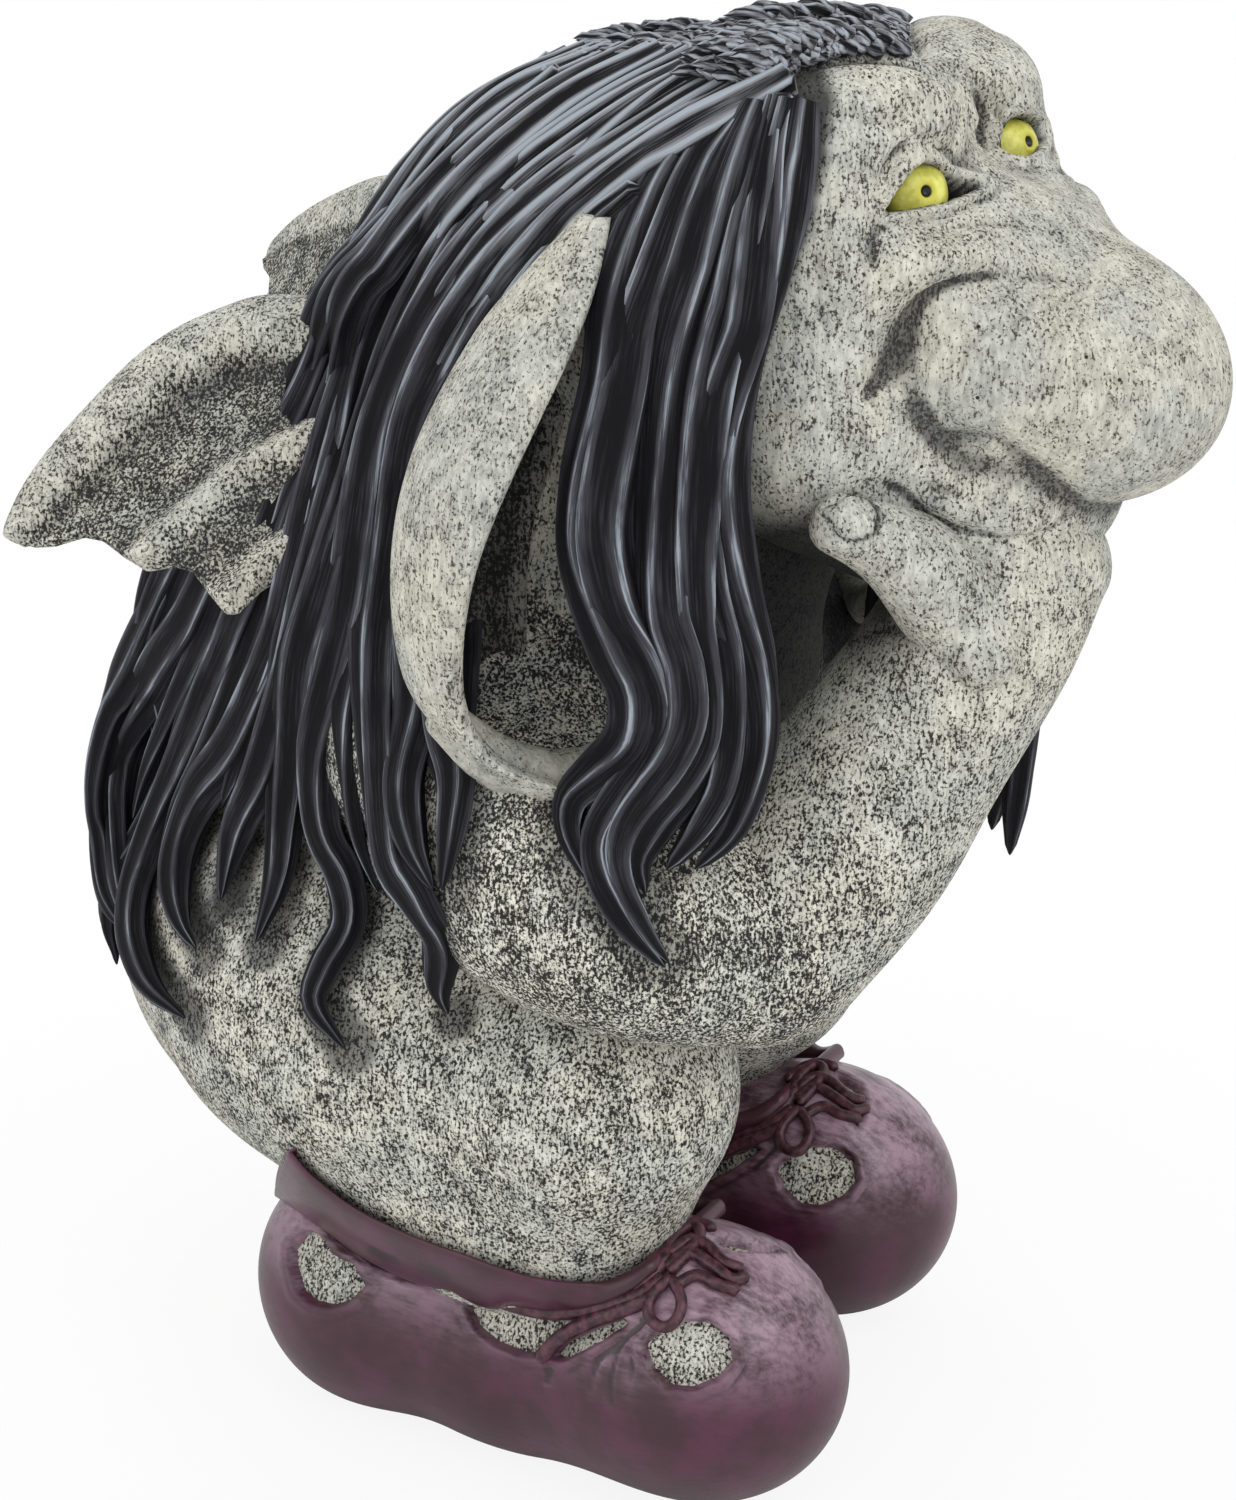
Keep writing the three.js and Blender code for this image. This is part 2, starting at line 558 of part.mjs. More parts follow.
const neckHole = dowel(NECK_DOWEL, NECK_AXIS, NECK_DOWEL_LENGTH, BOND_GAP, DOWEL_END_GAP);
const ankleHole = dowel(ANKLE_DOWEL, [0, 0, 1], ANKLE_DOWEL_LENGTH, BOND_GAP, DOWEL_END_GAP);
const collarAir = casting(COLLAR[0].at, COLLAR, LEG_FACETS);
const shoeHoles = SHOE_HOLES.flatMap(([y, z, r, turn]) =>
  [-1, 1].map((way) => {
    const along = [way * Math.cos(rad(turn)), Math.sin(rad(turn)), 0];
    return bar([-SHOE_HALF_SPACING, y, z], along, SHOE_HALF_SPACING, r);
  }));

// Feet, shoes and laces of the right side
const footBody = cut(foot, legCut, collarAir, ankleHole);
const shoeForm = casting(LAST_CORE, LAST, LEG_FACETS).intersect(above(0));
const shoeCut = casting(LAST_CORE, LAST, LEG_FACETS, BOND_GAP);
const shoeBody = cut(shoeForm, footCut, legCut, collarAir, ...shoeHoles);
const laces = cut(join(...[...LACE_STRAPS, ...BOW].map(cord)), shoeCut);
const leftLegCut = leftLeg(legCut);

// Upper body and hair
const legCuts = [legCut, leftLegCut];
const earCuts = [rightEarCut, mirrored(rightEarCut)];
const armCuts = [upperArmCut, forearmCut, leftUpperArmCut];
const eyeCuts = [RIGHT_EYE, LEFT_EYE].flatMap((at) => [lids(at), ball(at, EYE_R + BOND_GAP)]);
const earPegCuts = [rightEarPegCut, mirrored(rightEarPegCut)];
const wingPegCuts = [rightWingPegCut, leftWingPegCut];
const headBody = cut(head, torsoCut, frown, ...eyeCuts, ...earPegCuts, ...wingPegCuts, neckHole);
const behindHairline = above(HAIRLINE_Z).translate([0, HAIRLINE_Y + BLOCK / 2, 0]);
const cap = casting(SKULL[0].at, [SKULL[0]], LEG_FACETS, CAP_THICKNESS).intersect(behindHairline);
const sideLocks = MANE.map((path) => maneLock(onPicture(path, LOCK_LIFT)));
const middleLocks = Array.from({ length: MIDDLE_LOCKS }, (_, number) => maneLock(middlePlaces(number)));
const mane = join(cap, ...middleLocks, ...sideLocks, ...sideLocks.map(mirrored));

const castings = {
  torso: [cut(torso, ...wingPegCuts, ...earPegCuts, neckHole, ankleHole, leftLeg(ankleHole)), "stone"],
  head: [headBody, "stone"],
  right_eye: [ball(RIGHT_EYE, EYE_R), "eye"],
  left_eye: [ball(LEFT_EYE, EYE_R), "eye"],
  right_ear: [join(cut(rightEar, headCut, torsoCut, ...armCuts), rightEarPeg), "stone"],
  left_ear: [join(cut(mirrored(rightEar), headCut, torsoCut, ...armCuts), mirrored(rightEarPeg)), "stone"],
  right_wing: [join(cut(rightWing, torsoCut, headCut), rightWingPeg), "stone"],
  left_wing: [join(cut(leftWing, torsoCut, headCut), leftWingPeg), "stone"],
  right_upper_arm: [cut(upperArm, torsoCut, ...legCuts), "stone"],
  right_forearm: [cut(forearm, upperArmCut, headCut, torsoCut, ...legCuts), "stone"],
  left_upper_arm: [cut(leftUpperArm, torsoCut, ...legCuts), "stone"],
  left_forearm: [cut(leftForearm, leftUpperArmCut, torsoCut, ...legCuts), "stone"],
  right_front_hair: [cut(rightFrontHair, headCut, torsoCut, ...earCuts, ...armCuts), "hair"],
  left_front_hair: [cut(leftFrontHair, headCut, torsoCut, ...earCuts, ...armCuts), "hair"],
  mane: [
    cut(mane, headCut, torsoCut, ...earCuts, ...earPegCuts, rightWingCut, leftWingCut, ...wingPegCuts,
      rightFrontHairCut, leftFrontHairCut, ...armCuts, ...legCuts),
    "hair",
  ],
  right_leg: [cut(leg, torsoCut, ankleHole), "stone"],
  left_leg: [cut(leftLeg(leg), torsoCut, leftLeg(ankleHole)), "stone"],
  right_foot: [cut(footBody, torsoCut), "stone"],
  left_foot: [cut(leftLeg(footBody), torsoCut), "stone"],
  right_shoe: [cut(shoeBody, torsoCut), "shoe"],
  left_shoe: [cut(leftLeg(shoeBody), torsoCut), "shoe"],
  right_lace: [cut(laces, legCut), "lace"],
  left_lace: [cut(laces.translate([2 * SHOE_HALF_SPACING, LEFT_STEP_BACK, 0]), leftLegCut), "lace"],
  neck_dowel: [dowel(NECK_DOWEL, NECK_AXIS, NECK_DOWEL_LENGTH), "steel"],
  right_ankle_dowel: [dowel(ANKLE_DOWEL, [0, 0, 1], ANKLE_DOWEL_LENGTH), "steel"],
  left_ankle_dowel: [leftLeg(dowel(ANKLE_DOWEL, [0, 0, 1], ANKLE_DOWEL_LENGTH)), "steel"],
};
const FINISH = {
  stone: { color: 0xb4b5a6, roughness: 0.8, metalness: 0 },
  hair: { color: 0x3a3a44, roughness: 0.75, metalness: 0 },
  shoe: { color: 0x5d3148, roughness: 0.4, metalness: 0 },
  lace: { color: 0x4a2a3a, roughness: 0.45, metalness: 0 },
  eye: { color: 0xc9a52c, roughness: 0.2, metalness: 0 },
  steel: { color: 0x9a9a9c, roughness: 0.4, metalness: 1 },
};

// Meshes, moved so that the origin is the middle of the underside of the whole figure
const figure = new THREE.Group();
figure.name = "garden_troll";
for (const [name, [body, finish]] of Object.entries(castings)) {
  const { vertProperties, triVerts, numProp } = body.getMesh();
  const g = new THREE.BufferGeometry();
  const points = new Float32Array(vertProperties).filter((_, i) => i % numProp < 3);
  g.setAttribute("position", new THREE.BufferAttribute(points, 3)).setIndex([...triVerts]);
  const mesh = new THREE.Mesh(g, new THREE.MeshStandardMaterial(FINISH[finish]));
  mesh.name = name;
  figure.add(mesh);
}
const box = new THREE.Box3().setFromObject(figure);
const middle = box.getCenter(new THREE.Vector3());
for (const { geometry } of figure.children) {
  geometry.translate(-middle.x, -middle.y, -box.min.z).computeVertexNormals();
}
export default figure;
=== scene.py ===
# %% [markdown]
# # A crouching garden troll of painted stone resin
# The real statue is cast in stone resin, washed with dark paint and dry-brushed until only the pits
# and creases stay dark. The hair and the shoes are painted. Here each casting is a closed surface
# worked out with numpy, so that every swelling and crease has a named size. Shapes are in
# millimetres: the figure faces -Y, its right side is -X and it stands on Z = 0. The last step of
# each piece turns millimetres into the frame of the solid model.

import math

import bpy
import mathutils
import numpy as np
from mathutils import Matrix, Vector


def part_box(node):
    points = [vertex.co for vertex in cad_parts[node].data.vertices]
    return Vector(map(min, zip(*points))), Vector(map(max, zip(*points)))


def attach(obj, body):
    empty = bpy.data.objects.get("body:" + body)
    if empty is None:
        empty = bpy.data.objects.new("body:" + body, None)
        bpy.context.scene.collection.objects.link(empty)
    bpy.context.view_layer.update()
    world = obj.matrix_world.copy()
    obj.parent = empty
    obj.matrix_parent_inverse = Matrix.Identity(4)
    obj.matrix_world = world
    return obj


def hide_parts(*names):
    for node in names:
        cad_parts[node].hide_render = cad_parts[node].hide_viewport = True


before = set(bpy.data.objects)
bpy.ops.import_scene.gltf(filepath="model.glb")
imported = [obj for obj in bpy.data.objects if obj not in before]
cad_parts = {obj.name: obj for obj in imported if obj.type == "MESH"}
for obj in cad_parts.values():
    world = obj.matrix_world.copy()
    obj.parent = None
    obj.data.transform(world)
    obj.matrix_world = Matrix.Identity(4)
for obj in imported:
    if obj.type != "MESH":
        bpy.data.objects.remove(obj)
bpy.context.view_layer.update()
MM = 0.001
MIRROR = np.array([-1.0, 1.0, 1.0])  # turns a right-hand place into the left-hand one
RIGHT_EYE = np.array([-29.5, -86.0, 312.0])  # middle of the right eye in millimetres
low, high = (np.array(corner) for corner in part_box("right_eye"))
FRAME_OFFSET = (low + high) / 2 - RIGHT_EYE * MM
rng = np.random.default_rng(7)
print("offset of the frame in mm:", np.round(FRAME_OFFSET / MM, 2))

# %% [markdown]
# ## The camera
# A camera is three directions and a point. Knowing them in numpy as well as in Blender lets a
# crease be given by where it shows in the picture: a ray through that pixel finds the place on the
# form. The alternative, guessing three coordinates for every wrinkle, is slow and never lands on
# the skin.

# %% Camera directions and rays
PHOTO_WIDTH, PHOTO_HEIGHT = 1236, 1500
FOCAL_PIXELS = 3000.0
VIEW_TURN = math.radians(60)  # from straight in front towards the figure's right
VIEW_RISE = math.radians(20)
VIEW_DISTANCE = 735.0
VIEW_TARGET = np.array([0.0, 0.0, 165.0])
level = math.cos(VIEW_RISE)
TO_CAMERA = np.array([-math.sin(VIEW_TURN) * level, -math.cos(VIEW_TURN) * level, math.sin(VIEW_RISE)])
CAMERA_RIGHT = np.array([math.cos(VIEW_TURN), -math.sin(VIEW_TURN), 0.0])
CAMERA_UP = np.cross(TO_CAMERA, CAMERA_RIGHT)
CAMERA_AT = VIEW_TARGET + VIEW_DISTANCE * TO_CAMERA
RAY_DEPTHS = np.linspace(520.0, 960.0, 400)  # along a ray, from before the figure to behind it


def picture_of(points):
    """Pixels of points: distance sideways and up from the axis, over depth, times the focal length."""
    away = points - CAMERA_AT
    scale = FOCAL_PIXELS / -(away @ TO_CAMERA)
    across = PHOTO_WIDTH / 2 + (away @ CAMERA_RIGHT) * scale
    down = PHOTO_HEIGHT / 2 - (away @ CAMERA_UP) * scale
    return np.stack([across, down], -1)


def rays_of(pixels):
    """Rays through pixels, each one millimetre deep."""
    x, y = np.asarray(pixels, float).T
    rays = CAMERA_RIGHT * ((x - PHOTO_WIDTH / 2) / FOCAL_PIXELS)[:, None]
    return rays + CAMERA_UP * ((PHOTO_HEIGHT / 2 - y) / FOCAL_PIXELS)[:, None] - TO_CAMERA


def on_form(pixels, field, lift=0.0):
    """Places where rays first come within a lift of a form, or pass closest to it if they miss."""
    rays = rays_of(pixels)
    along = CAMERA_AT + rays[:, None] * RAY_DEPTHS[:, None]
    gap = field(along) - lift
    hits = gap < 0
    first = np.where(hits.any(1), hits.argmax(1), gap.argmin(1))
    row = np.arange(len(first))
    before = np.maximum(first - 1, 0)
    g0, g1 = gap[row, before], gap[row, first]
    share = np.where(hits.any(1), g0 / np.maximum(g0 - g1, 1e-6), 1.0)[:, None]
    return along[row, before] * (1 - share) + along[row, first] * share


print("camera at", np.round(CAMERA_AT, 1))

# %% [markdown]
# ## Clay
# A sculptor starts with lumps pressed together. A lump is an ellipsoid, and the smooth union of two
# lumps is the smaller of their distances, lowered a little where they are about equal. The skin is
# where the sum is zero. Blender's metaballs would do the same, but with less say over how far each
# join reaches.

# %% Lumps and their smooth union
CLAY = 14.0  # reach of the soft join between lumps


def melt(a, b, soft):
    """Smooth union: the smaller distance, less a parabola where the two differ by less than the reach."""
    h = np.maximum(soft - np.abs(a - b), 0) / soft
    return np.minimum(a, b) - h * h * soft / 4


def lump(points, at, size, pitch=0.0):
    """Distance outside an ellipsoid, to first order: k (k - 1) over the length of its slope."""
    q = points - np.array(at, float)
    c, s = math.cos(math.radians(pitch)), math.sin(math.radians(pitch))
    q = np.stack([q[..., 0], q[..., 1] * c + q[..., 2] * s, q[..., 2] * c - q[..., 1] * s], -1)
    q = q / np.array(size, float)
    k = np.sqrt((q * q).sum(-1)) + 1e-9
    slope = np.sqrt(((q / np.array(size, float)) ** 2).sum(-1)) + 1e-9
    return k * (k - 1) / slope


def clay(points, lumps, soft=CLAY):
    """Smooth union of a list of lumps, each given as centre, half-sizes and pitch."""
    total = lump(points, *lumps[0])
    for one in lumps[1:]:
        total = melt(total, lump(points, *one), soft)
    return total


def smooth_step(x, start, end):
    """Rises from 0 at start to 1 at end with level ends."""
    t = np.clip((x - start) / (end - start), 0, 1)
    return t * t * (3 - 2 * t)


def both_sides(at, size):
    """The same lump on the right and the left."""
    return [(at, size), ((-at[0], at[1], at[2]), size)]


TORSO = [((0, 56, 112), (82, 78, 64)), ((0, 36, 192), (70, 84, 70)), ((0, -6, 236), (50, 52, 46))]
SHOULDERS = both_sides((-62, -8, 172), (30, 34, 30))
SKULL = [((0, -25, 283), (58, 71, 52)), ((0, -70, 276), (48, 40, 50)), ((0, -88, 243), (36, 34, 22))]
SKULL += [((-27, -74, 328), (23, 21, 14.5)), ((24, -71, 326), (21, 20, 14))]  # brows
SKULL += [((0, -96, 251), (30, 24, 14))]  # muzzle
SKULL += both_sides((-36, -68, 264), (22, 25, 27))  # cheeks
SKULL += both_sides((-30, -87, 298), (17, 17, 11))  # bags under the eyes
SKULL += both_sides((-43, -60, 306), (16, 26, 33))  # temples
NOSE = [((0, -112, 273), (31, 35.5, 28.5), 12), ((0, -94, 295), (16, 18, 18))]
NOSE += both_sides((-23, -95, 279), (20, 25, 19))  # wings of the nose
NOSE_SOFT = 16.0
FROWN = ((6, -104, 325), (15, 18, 13))  # hollow between the brows
FROWN_SOFT = 8.0
SHOE_X = -46.0
LEFT_STEP_BACK = 13.0
HAUNCH = [((-46, 14, 100), (40, 66, 40)), ((-52, -23, 101), (32, 31, 36)), ((-48, 1, 66), (30, 43, 30))]
LEFT_HAUNCH = HAUNCH[:2] + [((-48, 5, 66), (28, 35, 32))]  # drawn for the right side, with a slimmer ankle
LAST = [((-46, -48, 33), (32, 38, 34)), ((-46, 0, 28), (28, 54, 32)), ((-46, 45, 28), (27, 31, 33))]


def head_gap(points):
    """Skull and nose, tightly joined at the wings of the nose, less the hollow between the brows."""
    soft = 4 + 10 * smooth_step(points[..., 2], 280, 304)
    head = melt(clay(points, SKULL), clay(points, NOSE, NOSE_SOFT), soft)
    return -melt(-head, lump(points, *FROWN), FROWN_SOFT)


def torso_gap(points):
    """Rump, back and neck."""
    return clay(points, TORSO)


def last_gap(points):
    """The right shoe, as the last it is made on."""
    return clay(points, LAST)


HAUNCH_SOFT = 30.0  # reach of the join between the legs and the body
SKIRT = 12.0  # past its limb, a join dives under the body by the square of the distance over this


def leg_gap(points, lumps=HAUNCH):
    """Right leg with a skirt: a soft join that dives under the body's skin away from the leg."""
    leg = clay(points, lumps)
    return melt(leg, torso_gap(points) + (np.maximum(leg, 0) / SKIRT) ** 2, HAUNCH_SOFT)


print("lumps:", len(TORSO) + len(SKULL) + len(NOSE) + len(HAUNCH) + len(LAST))

# %% [markdown]
# ## From arrays to meshes
# A skin is a list of rings with a point at each end. Its faces follow from the numbers of rows and
# columns alone, so they are made as whole arrays. If the volume comes out below zero, the faces are
# turned round. Values such as "how deep in a hollow" ride along as attributes of the points, for
# the paint to read.

# %% Skins and pieces
pieces = []


def skin(rings, ends, **values):
    """Closed surface over rings of points: quads between rings and a fan of triangles at each end."""
    rows, sides = rings.shape[:2]
    points = np.concatenate([rings.reshape(-1, 3), np.array(ends, float)])
    index = np.arange(rows * sides).reshape(rows, sides)
    ahead = np.roll(index, -1, axis=1)
    quads = np.stack([index[:-1], ahead[:-1], ahead[1:], index[1:]], -1).reshape(-1, 4)
    top = np.stack([np.full(sides, rows * sides), ahead[0], index[0]], -1)
    bottom = np.stack([np.full(sides, rows * sides + 1), index[-1], ahead[-1]], -1)
    tris = np.concatenate([top, bottom])
    corners = np.concatenate([quads[:, [0, 1, 2]], quads[:, [0, 2, 3]], tris])
    a, b, c = (points[corners[:, i]] - points[0] for i in range(3))
    if (a * np.cross(b, c)).sum() < 0:
        quads, tris = quads[:, ::-1], tris[:, ::-1]
    flat = {}
    for key, value in values.items():
        value = np.asarray(value, float)
        value = np.broadcast_to(value, (rows, sides) + value.shape[2:]) if value.ndim < 3 else value
        tail = np.stack([value[0].mean(0), value[-1].mean(0)])
        flat[key] = np.concatenate([value.reshape((rows * sides,) + value.shape[2:]), tail])
    return {"points": points, "quads": quads, "tris": tris, "values": flat}


def mirrored(one):
    """The left-hand copy of a skin: X changes sign and the faces are turned round."""
    turned = {key: one[key][:, ::-1] for key in ("quads", "tris")}
    return {**one, "points": one["points"] * MIRROR, **turned}


def moved(one, step):
    """A skin moved by a step in millimetres."""
    return {**one, "points": one["points"] + np.array(step, float)}


def piece(name, skins, finish, nodes):
    """One object made of closed skins, in metres in the frame, with a finish, for solid nodes."""
    starts = np.cumsum([0] + [len(s["points"]) for s in skins])[:-1]
    points = np.concatenate([s["points"] for s in skins]) * MM + FRAME_OFFSET
    quads = np.concatenate([s["quads"] + k for s, k in zip(skins, starts)])
    tris = np.concatenate([s["tris"] + k for s, k in zip(skins, starts)])
    mesh = bpy.data.meshes.new(name)
    mesh.vertices.add(len(points))
    mesh.vertices.foreach_set("co", points.astype(np.float32).ravel())
    corners = np.concatenate([quads.ravel(), tris.ravel()]).astype(np.int32)
    mesh.loops.add(len(corners))
    mesh.loops.foreach_set("vertex_index", corners)
    first = np.concatenate([np.arange(len(quads)) * 4, len(quads) * 4 + np.arange(len(tris)) * 3])
    mesh.polygons.add(len(first))
    mesh.polygons.foreach_set("loop_start", first.astype(np.int32))
    mesh.update(calc_edges=True)
    mesh.shade_smooth()
    for key in skins[0]["values"]:
        data = np.concatenate([s["values"][key] for s in skins]).astype(np.float32)
        kind, field = ("FLOAT_VECTOR", "vector") if data.ndim == 2 else ("FLOAT", "value")
        mesh.attributes.new(key, kind, "POINT").data.foreach_set(field, data.ravel())
    mesh.materials.append(finish)
    made = bpy.data.objects.new(name, mesh)
    bpy.context.scene.collection.objects.link(made)
    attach(made, "root")
    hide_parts(*nodes)
    pieces.append(made)
    print(f"{name}: {len(points)} points, {2 * len(quads) + len(tris)} triangles")
    return made


# %% [markdown]
# ## Forms, creases and hollows
# A form is a ball of rays from a core: each ray is cut where the clay ends, by halving. Creases are
# then pressed into the skin along its normals, each a bell-shaped groove beside a path. What lies
# lower than the skin around it is measured afterwards, because those places are painted darker:
# partly the painter's dark wash, partly painted shade in the creases.

# %% Forms by rays, grooves and the measure of hollows
FARTHEST = 260.0  # no skin is farther than this from its core


def reach_out(origin, along, field):
    """Distance along each ray to the skin, by halving the span that holds it."""
    near, far = np.zeros(along.shape[:-1]), np.full(along.shape[:-1], FARTHEST)
    for _ in range(18):
        middle = (near + far) / 2
        out = field(origin + along * middle[..., None]) > 0
        near, far = np.where(out, near, middle), np.where(out, middle, far)
    return origin + along * near[..., None]


def form(core, field, rows, sides, crowd=0.0, spine=0.0):
    """Rays by polar angle and turn from straight back, crowded to the front, from a spine along Y."""
    polar = (np.arange(rows) + 1)[:, None] / (rows + 1) * math.pi
    turn = np.arange(sides)[None] / sides * 2 * math.pi
    turn = turn + crowd * np.sin(turn)
    flat = np.sin(polar)
    along = np.stack([-flat * np.sin(turn), flat * np.cos(turn), np.cos(polar) + 0 * turn], -1)
    origin = np.array(core, float) + along * np.array([0.0, spine, 0.0])
    rings = reach_out(origin, along, field)
    poles = np.array([[0.0, 0.0, 1.0], [0.0, 0.0, -1.0]])
    ends = reach_out(np.array([core, core], float), poles, field)
    return rings, ends

print("rays end within", FARTHEST / 2**18, "mm of the skin")


# %% Normals and hollows
def normals_of(rings):
    """Outward normals: the cross product of the steps along and around, away from the ring's middle."""
    around = np.roll(rings, -1, axis=1) - np.roll(rings, 1, axis=1)
    normal = np.cross(np.gradient(rings, axis=0), around)
    normal /= np.linalg.norm(normal, axis=-1, keepdims=True) + 1e-9
    outward = (normal * (rings - rings.mean(1, keepdims=True))).sum()
    return normal if outward > 0 else -normal


def hollows_of(rings, step, full):
    """How far the skin lies below the mean of its neighbours, as a share of a full hollow."""
    rows = np.arange(len(rings))
    above, below = rings[np.maximum(rows - step, 0)], rings[np.minimum(rows + step, len(rings) - 1)]
    beside = np.roll(rings, step, axis=1) + np.roll(rings, -step, axis=1)
    rise = (((above + below + beside) / 4 - rings) * normals_of(rings)).sum(-1)
    return np.clip(rise / full, -1, 1)


# %% Paths, strokes and outlines
def smooth_path(stations, count):
    """Catmull-Rom curve: through every station, along the line between the stations beside it."""
    s = np.asarray(stations, float)
    s = np.vstack([2 * s[0] - s[1], s, 2 * s[-1] - s[-2]])
    u = np.linspace(0, len(s) - 3, count)
    k = np.minimum(u.astype(int), len(s) - 4)
    f = (u - k)[:, None]
    a, b, c, d = s[k], s[k + 1], s[k + 2], s[k + 3]
    return 0.5 * (2 * b + (c - a) * f + (2 * a - 5 * b + 4 * c - d) * f**2 + (3 * b - a - 3 * c + d) * f**3)


def even_path(stations, spacing):
    """The same curve with its points a fixed distance apart."""
    fine = smooth_path(stations, 24 * len(stations))
    run = np.concatenate([[0], np.cumsum(np.linalg.norm(np.diff(fine[:, :3], axis=0), axis=1))])
    at = np.linspace(0, run[-1], max(6, int(run[-1] / spacing)))
    return np.stack([np.interp(at, run, column) for column in fine.T], -1)


def press(rings, strokes, field, mirror=False):
    """Moves a skin along its normals: for each stroke, depth times a bell of the distance to its path."""
    flat = rings.reshape(-1, 3)
    move = np.zeros(len(flat))
    for pixels, width, depth in strokes:
        right = even_path(on_form(pixels, field), 0.8)
        for path in (right, right * MIRROR) if mirror else (right,):
            near = ((flat > path.min(0) - 3 * width) & (flat < path.max(0) + 3 * width)).all(1)
            gap = np.linalg.norm(flat[near][:, None] - path, axis=-1)
            share = gap.argmin(1) / (len(path) - 1)
            fade = np.sqrt(np.sin(math.pi * np.clip(share, 0.02, 0.98)))
            move[near] += depth * fade * np.exp(-((gap.min(1) / width) ** 2))
    return rings + normals_of(rings) * move.reshape(rings.shape[:2])[..., None]


def outline_gap(pixels, corners):
    """Distance in the picture to a closed outline, below zero inside it, by counting crossings."""
    a = np.asarray(corners, float)
    b = np.roll(a, -1, axis=0)
    edge = b - a
    p = pixels[:, None]
    t = np.clip(((p - a) * edge).sum(-1) / (edge**2).sum(-1), 0, 1)
    gap = np.linalg.norm(p - a - t[..., None] * edge, axis=-1).min(1)
    crossed = (a[:, 1] > p[..., 1]) != (b[:, 1] > p[..., 1])
    meets = a[:, 0] + (p[..., 1] - a[:, 1]) * edge[:, 0] / np.where(edge[:, 1] == 0, 1e-9, edge[:, 1])
    inside = (crossed & (p[..., 0] < meets)).sum(1) % 2 == 1
    return np.where(inside, -gap, gap)


# %% [markdown]
# ## Paint
# Shader maths reads best as sums. The class below wraps a socket, so that an expression such as 1 -
# mask adds the Math node for it. Any other node comes from one method.

# %% Sockets that can be added and multiplied
class Paint:
    """A value in a material: arithmetic on it adds Math nodes."""

    def __init__(self, tree, socket):
        self.tree = tree
        self.socket = socket

    def node(self, kind, settings=None, output=0, **inputs):
        """Adds a node, makes its settings, then sets or links its sockets by identifier or name."""
        made = self.tree.nodes.new(kind)
        for key, value in (settings or {}).items():
            setattr(made, key, value)
        for key, value in inputs.items():
            key = key.replace("_", " ")
            found = [s for s in made.inputs if s.identifier.replace("_", " ") == key or s.name == key]
            if isinstance(value, Paint):
                self.tree.links.new(value.socket, found[0])
            else:
                found[0].default_value = value
        return Paint(self.tree, made.outputs[output])

    def maths(self, operation, other, swap=False):
        """A Math node with this value and another, in either order."""
        made = self.tree.nodes.new("ShaderNodeMath")
        made.operation = operation
        for socket, value in zip(made.inputs, (other, self) if swap else (self, other)):
            if isinstance(value, Paint):
                self.tree.links.new(value.socket, socket)
            else:
                socket.default_value = value
        return Paint(self.tree, made.outputs[0])

    def __add__(self, other):
        return self.maths("ADD", other)

    def __radd__(self, other):
        return self.maths("ADD", other, True)

    def __sub__(self, other):
        return self.maths("SUBTRACT", other)

    def __rsub__(self, other):
        return self.maths("SUBTRACT", other, True)

    def __mul__(self, other):
        return self.maths("MULTIPLY", other)

    def __rmul__(self, other):
        return self.maths("MULTIPLY", other, True)

    def above(self, start, end):
        """A soft threshold: 0 below start, 1 above end."""
        settings = {"interpolation_type": "SMOOTHSTEP"}
        inputs = {"Value": self, "From_Min": start, "From_Max": end}
        return self.node("ShaderNodeMapRange", settings, **inputs)

    def blend(self, a, b):
        """A colour between two colours, by this value."""
        return self.node("ShaderNodeMix", {"data_type": "RGBA"}, 2, Factor_Float=self, A_Color=a, B_Color=b)


# %% Colours, attributes, noise and bump
def colour(red, green, blue):
    """A screen colour of 0 to 255 as linear light."""
    parts = np.array([red, green, blue]) / 255
    light = np.where(parts <= 0.04045, parts / 12.92, ((parts + 0.055) / 1.055) ** 2.4)
    return (*light.tolist(), 1.0)


def start_finish(name):
    """A new material: its Principled shader, and the Object coordinates as a wrapped socket."""
    made = bpy.data.materials.new(name)
    made.use_nodes = True
    tree = made.node_tree
    shader = tree.nodes["Principled BSDF"]
    coordinates = tree.nodes.new("ShaderNodeTexCoord")
    return made, tree, shader, Paint(tree, coordinates.outputs["Object"])


def attribute(paint, name, vector=False):
    """A value that rides on the points of the mesh."""
    return paint.node("ShaderNodeAttribute", {"attribute_name": name}, 1 if vector else 2)


def grain(paint, size, detail=3.0, rough=0.6, stretch=(1, 1, 1)):
    """Noise with lumps of about a size in millimetres, stretched along the axes."""
    scale = [1 / (size * MM * s) for s in stretch]
    spread = paint.node("ShaderNodeMapping", None, 0, Vector=paint, Scale=scale)
    inputs = {"Vector": spread, "Scale": 1.0, "Detail": detail, "Roughness": rough}
    return paint.node("ShaderNodeTexNoise", None, 0, **inputs)


def relief(tree, shader, paint, height, depth, strength):
    """Bump: a height from 0 to 1 over a depth in millimetres, into the shader's normal."""
    inputs = {"Height": height, "Distance": depth * MM, "Strength": strength}
    bump = paint.node("ShaderNodeBump", None, 0, **inputs)
    tree.links.new(bump.socket, shader.inputs["Normal"])


# %% [markdown]
# ### Stone paint
# The resin is stained dark, then dry-brushed with pale grey-green. The brush misses pits, so the
# skin is a net of worm-like dark specks about a millimetre long, thick on the limbs and thin on the
# nose. Two sizes of noise give the specks, a coarser one moves the tone, and rare round dots are
# air bubbles of the casting.

# %% Stone finish
STONE_LIGHT = colour(243, 242, 229)
STONE_MIDDLE = colour(136, 137, 131)
STONE_SPECK = colour(84, 78, 71)  # thin dark paint, where the brush left little of it
STONE_DARK = colour(42, 41, 39)
STONE_WARM = colour(214, 204, 180)
STONE_COOL = colour(150, 160, 162)
STONE_WASH_AND_SHADE = colour(50, 51, 51)

